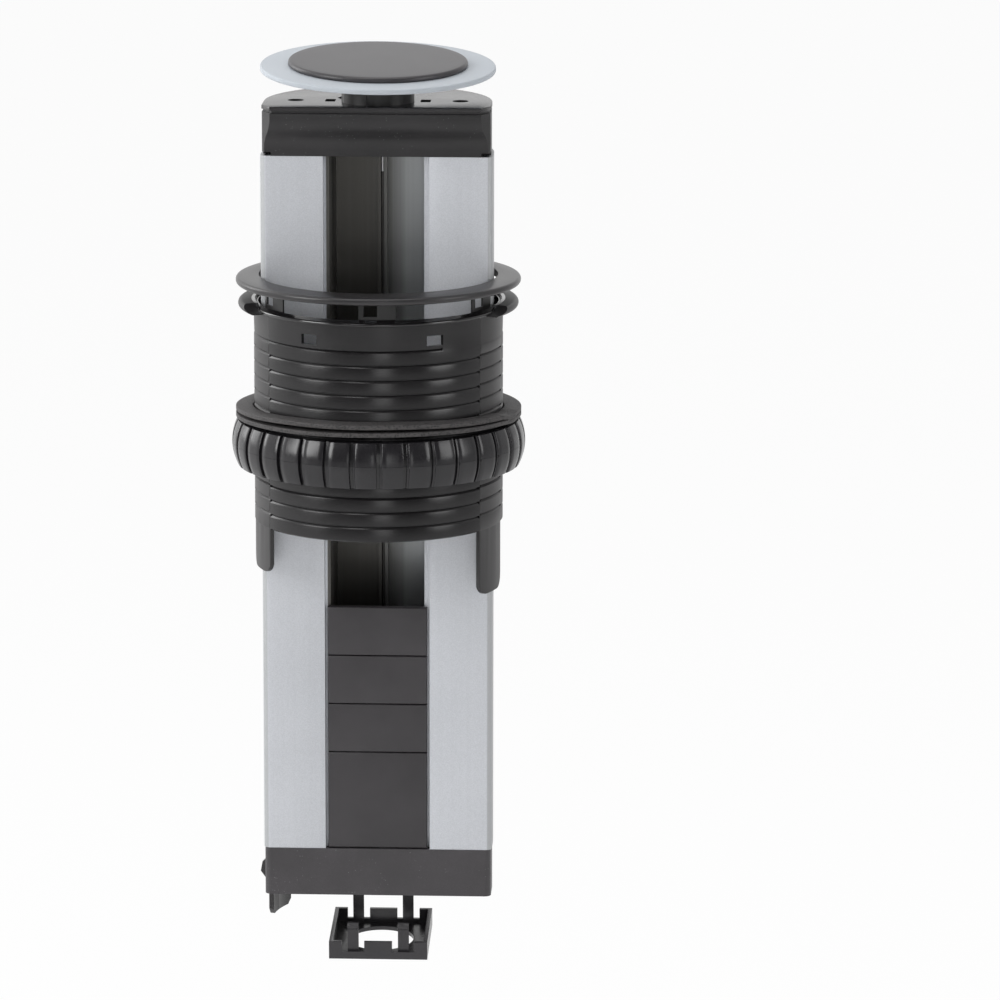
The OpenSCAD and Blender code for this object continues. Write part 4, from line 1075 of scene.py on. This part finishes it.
@dataclass
class TrimRing(Assembly):
    """Loose ring with windowed legs that reach into the collar's bore."""

    r: float = 64.0
    hole_r: float = 53.6
    low: float = 10.8
    t: float = 3.2
    cone: float = 0.8
    nose: float = 1.4
    edge: float = 0.7
    leg_r: float = 53.9
    leg_t: float = 0.8
    leg_len: float = 20.0
    window_h: float = 6.5
    narrow_deg: float = 2.4
    window_deg: float = 6.4
    wide_deg: float = 8.8
    start_deg: float = -6.0
    legs: int = 6
    toe: float = 0.6
    toe_drop: float = 0.35
    root: float = 1.2
    steps: int = 240

    def ring(self) -> Mesh:
        """Builds the ring's body with a rolled outer edge and a softly coned top."""
        low, high, nose = self.low, self.low + self.t, self.nose
        profile = [(self.hole_r, low + self.edge), (self.hole_r + self.edge, low),
                   *bow((self.r - nose, low + nose), nose, -90, 0, 7),
                   *bow((self.r - nose, high - nose), nose, 0, 86, 7),
                   (self.hole_r + 0.5, high + self.cone), (self.hole_r + 0.12, high + self.cone - 0.14),
                   (self.hole_r, high + self.cone - 0.5)]
        return turned(profile, self.steps)

    def leg(self) -> Mesh:
        """Builds the leg at the front: a curved sheet with a window, given its thickness inwards."""
        low, sill = self.low - self.leg_len, self.low - self.window_h
        left, right = self.narrow_deg, self.narrow_deg + self.window_deg
        across = [0.0, self.narrow_deg / 2, left, left + 2.1, left + 4.3, right,
                  *(right + self.wide_deg * share for share in (0.25, 0.5, 0.75, 1.0))]
        rows = [low, low + self.toe, sill, self.low, self.low + self.root]
        sheet = bmesh.new()
        ops.create_grid(sheet, x_segments=len(across) - 1, y_segments=len(rows) - 1, size=1.0)
        for vert in sheet.verts:
            column = round((vert.co.x + 1) / 2 * (len(across) - 1))
            row = round((vert.co.y + 1) / 2 * (len(rows) - 1))
            angle = radians(self.start_deg + across[column])
            r = self.leg_r - (self.toe_drop if row == 0 else 0.0)
            vert.co = (r * sin(angle), -r * cos(angle), rows[row])
        hole = [face for face in sheet.faces if sill < face.calc_center_median().z < self.low
                and left < bearing(face.calc_center_median()) - self.start_deg < right]
        ops.delete(sheet, geom=hole, context="FACES")
        ops.recalc_face_normals(sheet, faces=sheet.faces)
        first = next(iter(sheet.faces))
        if first.normal.dot(first.calc_center_median()) < 0:
            ops.reverse_faces(sheet, faces=sheet.faces)
        ops.solidify(sheet, geom=sheet.faces, thickness=self.leg_t)
        return sheet

    def build(self) -> None:
        """Builds the ring with its legs as one piece."""
        legs = (placed(self.leg(), spun(i * 360 / self.legs)) for i in range(self.legs))
        whole = gathered([self.ring(), *legs])
        in_place(whole, "trim_ring", self.surfaces.ring, Body.TRIM, edge=0.1, smooth_deg=50.0)


@dataclass(frozen=True)
class Lift:
    """How a foam ring rises: a broad hump at the front with small waves on it, and a kink on the right."""

    height: float
    centre: float
    half_width: float
    wave: float
    waves: float
    wave_shift: float
    kink: float
    kink_slant: float
    droop: float
    seat: float = 0.0
    kink_at: Point = (72.0, 9.0)
    wave_at: Point = (0.0, 100.0)
    droop_at: Point = (0.0, 90.0)

    @staticmethod
    def hump(angle: float, centre: float, half_width: float) -> float:
        """Smooth hump of height 1 round an angle."""
        away = min(abs(angle - centre) / half_width, 1.0)
        return (1 - away * away) ** 2

    def rise(self, angle: float, share: float) -> float:
        """Rise at an angle, for a share of the ring's width from the inside out."""
        wave = self.wave * sin(radians(angle * self.waves + self.wave_shift))
        wave *= self.hump(angle, *self.wave_at)
        kink = self.kink * self.hump(angle, *self.kink_at) * (1 - self.kink_slant * (1 - share))
        droop = self.droop * share * self.hump(angle, *self.droop_at)
        return self.height * self.hump(angle, self.centre, self.half_width) + wave - kink - droop + self.seat


@dataclass
class Gaskets(Assembly):
    """Two thin foam rings that lie loose on the nut and lift at the front, the lower one less."""

    outer_r: float = 64.3
    inner_r: float = 56.5
    t: float = 2.0
    seat_z: float = -49.9
    edge: float = 0.35
    steps: int = 288
    lower: Lift = Lift(height=2.2, centre=8.0, half_width=108.0, wave=0.1, waves=5.0, wave_shift=40.0,
                       kink=0.5, kink_slant=0.0, droop=0.35)
    upper: Lift = Lift(height=3.8, centre=-4.0, half_width=118.0, wave=0.14, waves=7.0, wave_shift=0.0,
                       kink=1.1, kink_slant=0.6, droop=0.5, seat=0.02)

    def ring(self, low: float, lift: Lift) -> Mesh:
        """Builds one ring and bends it.

        Args:
            low: height of its flat underside.
            lift: how it rises.

        Returns:
            The bent ring.
        """
        high, edge, inner, outer = low + self.t, self.edge, self.inner_r, self.outer_r
        middle = (inner + outer) / 2
        profile = [*bow((inner + edge, low + edge), edge, 180, 270, 2), (middle, low),
                   *bow((outer - edge, low + edge), edge, 270, 360, 2),
                   *bow((outer - edge, high - edge), edge, 0, 90, 2), (middle, high),
                   *bow((inner + edge, high - edge), edge, 90, 180, 2)]
        mesh = turned(profile, self.steps)
        for vert in mesh.verts:
            share = (hypot(vert.co.x, vert.co.y) - inner) / (outer - inner)
            vert.co.z += lift.rise(bearing(vert.co), share)
        return mesh

    def build(self) -> None:
        """Builds both gaskets."""
        for node, low, lift in (("gasket_lower", self.seat_z, self.lower),
                                ("gasket_upper", self.seat_z + self.t, self.upper)):
            in_place(self.ring(low, lift), node, self.surfaces.foam, Body.GASKETS, smooth_deg=60.0)


@dataclass
class ClampNut(Assembly):
    """Barrel-shaped nut with grip bars, a recess in its top and a fine parting line."""

    r: float = 66.1
    h: float = 21.0
    top: float = -50.5
    barrel: float = 2.6
    rim: float = 2.4
    recess: float = 5.0
    bore_r: float = 56.08
    seat_w: float = 3.0
    bars: int = 34
    phase_deg: float = 3.2
    groove_deg: float = 1.387
    depth: float = 1.5
    ledge_deg: float = 1.56
    ledge_depth: float = 0.5
    seam_half_deg: float = 0.13
    seam_depth: float = 0.07
    seat_rise: float = 0.6
    edge: float = 0.35

    def profile(self) -> list[Point]:
        """Section of the nut without its grooves."""
        low, top, mid = self.top - self.h, self.top, self.top - self.h / 2
        bulge = ((self.h / 2) ** 2 + self.barrel ** 2) / (2 * self.barrel)
        half, seam = degrees(asin((self.h / 2 - 0.25) / bulge)), self.seam_half_deg
        corner, shoulder = self.r - self.barrel - self.edge, self.r - self.barrel - self.rim
        seat, floor, crest = self.bore_r + self.seat_w, top - self.recess, top + self.seat_rise
        lower = bow((self.r - bulge, mid), bulge, -half, -seam, 8)
        upper = bow((self.r - bulge, mid), bulge, seam, half, 8)
        return [(self.bore_r, low + 1), (self.bore_r + 1, low), (shoulder, low + 1), (corner, low + 0.02),
                *lower, (self.r - self.seam_depth, mid), *upper, (corner, top - 0.02), (shoulder, top),
                (shoulder - 0.6, floor), (seat, floor), (seat, crest), (self.bore_r + 0.4, crest),
                (self.bore_r, top + 0.2)]

    def bar_plan(self) -> list[Point]:
        """Angle and depth of the points across one groove and the bar after it."""
        half, ledge, pitch = self.groove_deg / 2, self.ledge_deg, 360 / self.bars
        free = pitch - half - ledge
        return [(-half, self.depth * 0.35), (-half + 0.06, self.depth), (half - 0.06, self.depth),
                (half, self.ledge_depth + 0.1), (half + 0.1, self.ledge_depth),
                (ledge - 0.12, self.ledge_depth), (ledge, 0.18), (ledge + 0.22, 0.0),
                *((ledge + free * share, 0.0) for share in (0.27, 0.5, 0.75)),
                (pitch - half - 0.26, 0.0), (pitch - half - 0.09, 0.1)]

    def build(self) -> None:
        """Turns the nut and presses its grooves in."""
        plan = self.bar_plan()
        mesh = turned(self.profile(), self.bars * len(plan))
        step = 360 / self.bars / len(plan)
        outside = self.r - self.barrel - self.rim + 0.3
        for vert in mesh.verts:
            r = hypot(vert.co.x, vert.co.y)
            count = round(bearing(vert.co) / step)
            bar, place = divmod(count, len(plan))
            angle = radians(self.phase_deg + bar * 360 / self.bars + plan[place][0])
            r -= plan[place][1] if r > outside else 0.0
            vert.co.x, vert.co.y = r * sin(angle), -r * cos(angle)
        in_place(mesh, "clamp_nut", self.surfaces.nut, Body.NUT, smooth_deg=38.0)


@dataclass
class Collar(Assembly):
    """Threaded tube with a sloping rim, a flange that is open at the front, and two snap windows."""

    bore_r: float = 54.0
    root_r: float = 55.1
    rib_r: float = 56.0
    low: float = -97.0
    pitch: float = 6.6
    groove: float = 10.5
    groove_floor: float = 0.5
    groove_bevel: float = 0.9
    register_h: float = 4.6
    draft: float = 0.15
    lip_r: float = 56.8
    rim_top: float = 2.8
    rim_drop: float = 1.02
    flange_r: float = 63.0
    flange_t: float = 3.8
    outlet_half_deg: float = 62.0
    scoop_r: float = 13.0
    scoop_edge: float = 0.6
    strip_from_deg: float = 57.0
    strip_span_deg: float = 25.0
    window_deg: float = 30.0
    window_w: float = 8.0
    window_h: float = 4.5
    window_drop: float = 7.0
    groove_end_deg: float = 34.0
    strip_edge: float = 0.14
    foot: float = 2.9
    edge: float = 0.9
    steps: int = 288
    groove_steps: int = 240
    flange_steps: int = 220

    @property
    def slot_top(self) -> float:
        """Height of the first groove's lower end, where the side strips' slots begin."""
        return -self.groove - self.groove_floor - self.groove_bevel

    def groove_points(self, z: float, soft: float = 0.14) -> list[Point]:
        """One thread groove from its lower end up, with softly rounded edges."""
        lower = z - self.groove_floor - self.groove_bevel
        return [(self.rib_r, lower - soft), (self.rib_r - soft * 0.4, lower + soft * 0.3),
                (self.root_r, z - self.groove_floor), (self.root_r, z), (self.rib_r - soft, z),
                (self.rib_r, z + soft)]

    def wall(self) -> Mesh:
        """Builds the threaded tube with its rim, from the second groove down."""
        edge, count = self.edge, int((-self.groove - self.pitch - self.low - self.foot) / self.pitch)
        grooves = [self.groove_points(-self.groove - self.pitch * (i + 1)) for i in range(count, -1, -1)]
        profile = [(self.bore_r, self.low), (self.rib_r - 0.5, self.low), (self.rib_r, self.low + 0.5),
                   *[point for groove in grooves for point in groove],
                   (self.rib_r, self.slot_top - self.groove_floor),
                   (self.rib_r - self.draft, self.slot_top + 0.45),
                   (self.rib_r, -self.register_h), (self.rib_r, 0.05),
                   *bow((self.lip_r - edge, self.rim_top - self.rim_drop - edge), edge, -60, 70, 8),
                   (self.bore_r + 0.4, self.rim_top), (self.bore_r + 0.1, self.rim_top - 0.1),
                   (self.bore_r, self.rim_top - 0.4)]
        return turned(profile, self.steps)

    def first_groove(self) -> Mesh:
        """Builds the cut of the first groove, which ends below the right window."""
        outside = self.rib_r + 1
        points = [(self.root_r, -self.groove), (outside, -self.groove), (outside, self.slot_top),
                  (self.rib_r, self.slot_top), (self.root_r, -self.groove - self.groove_floor)]
        start = self.strip_from_deg + self.strip_span_deg + 2
        return turned(points, self.groove_steps, start, 360 - start + self.groove_end_deg)

    def flange(self) -> Mesh:
        """Builds the flange, whose two ends thin out in a scoop."""
        nose = self.flange_t / 2
        profile = [(self.rib_r - 0.5, 0.0), *bow((self.flange_r - nose, nose), nose, -90, 90, 14),
                   (self.rib_r - 0.5, self.flange_t)]
        flange = turned(profile, self.flange_steps, self.outlet_half_deg, 360 - 2 * self.outlet_half_deg)
        scoops = []
        for side in (-1, 1):
            scoop = rod(self.scoop_r, -self.flange_r - 3, -self.rib_r + 3, steps=160)
            lying = Matrix.Rotation(radians(-90), 4, "X")
            raised = Matrix.Translation((side, 0, self.scoop_r + self.scoop_edge))
            scoops.append(placed(scoop, spun(side * self.outlet_half_deg) @ raised @ lying))
        return worked(flange, gathered(scoops))

    def openings(self) -> Mesh:
        """Builds the cuts of the two windows and of the side strips' slots."""
        cuts = []
        half_w, half_deg, reach = self.window_w / 2, self.strip_span_deg / 2, 2 * self.bore_r
        top = self.window_h / 2 - self.window_drop
        wedge = [(0.0, 0.0), *bow((0.0, 0.0), reach, -90 - half_deg, -90 + half_deg, 2)]
        for side in (-1, 1):
            window = block(-half_w, half_w, -self.rib_r - 1, -self.rib_r + 3, top - self.window_h, top)
            cuts.append(placed(window, spun(side * self.window_deg)))
            slot = prism(wedge, self.low - 1, self.slot_top)
            cuts.append(placed(slot, spun(side * (self.strip_from_deg + half_deg))))
        return gathered(cuts)

    def build(self) -> None:
        """Builds the collar and carries its strips over."""
        tube = worked(self.wall(), self.flange(), Cut.JOIN)
        tube = worked(tube, self.first_groove())
        tube = worked(tube, self.openings())
        in_place(tube, "collar", self.surfaces.collar, Body.COLLAR, edge=0.1)
        self.carry(Body.COLLAR, ("side_strip_left", self.surfaces.collar, self.strip_edge),
                   ("side_strip_right", self.surfaces.collar, self.strip_edge),
                   ("glide_strips", self.surfaces.felt, self.strip_edge))


def main() -> None:
    """Builds the studio and every sub-assembly in order."""
    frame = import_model()
    Studio().build()
    surfaces = Finishes()
    for assembly in (Lid, Head, Blanks, Column, TrimRing, Gaskets, ClampNut, Collar):
        assembly(surfaces, frame).build()
        log.info("built %s", assembly.__name__)


if __name__ == "__main__":
    main()
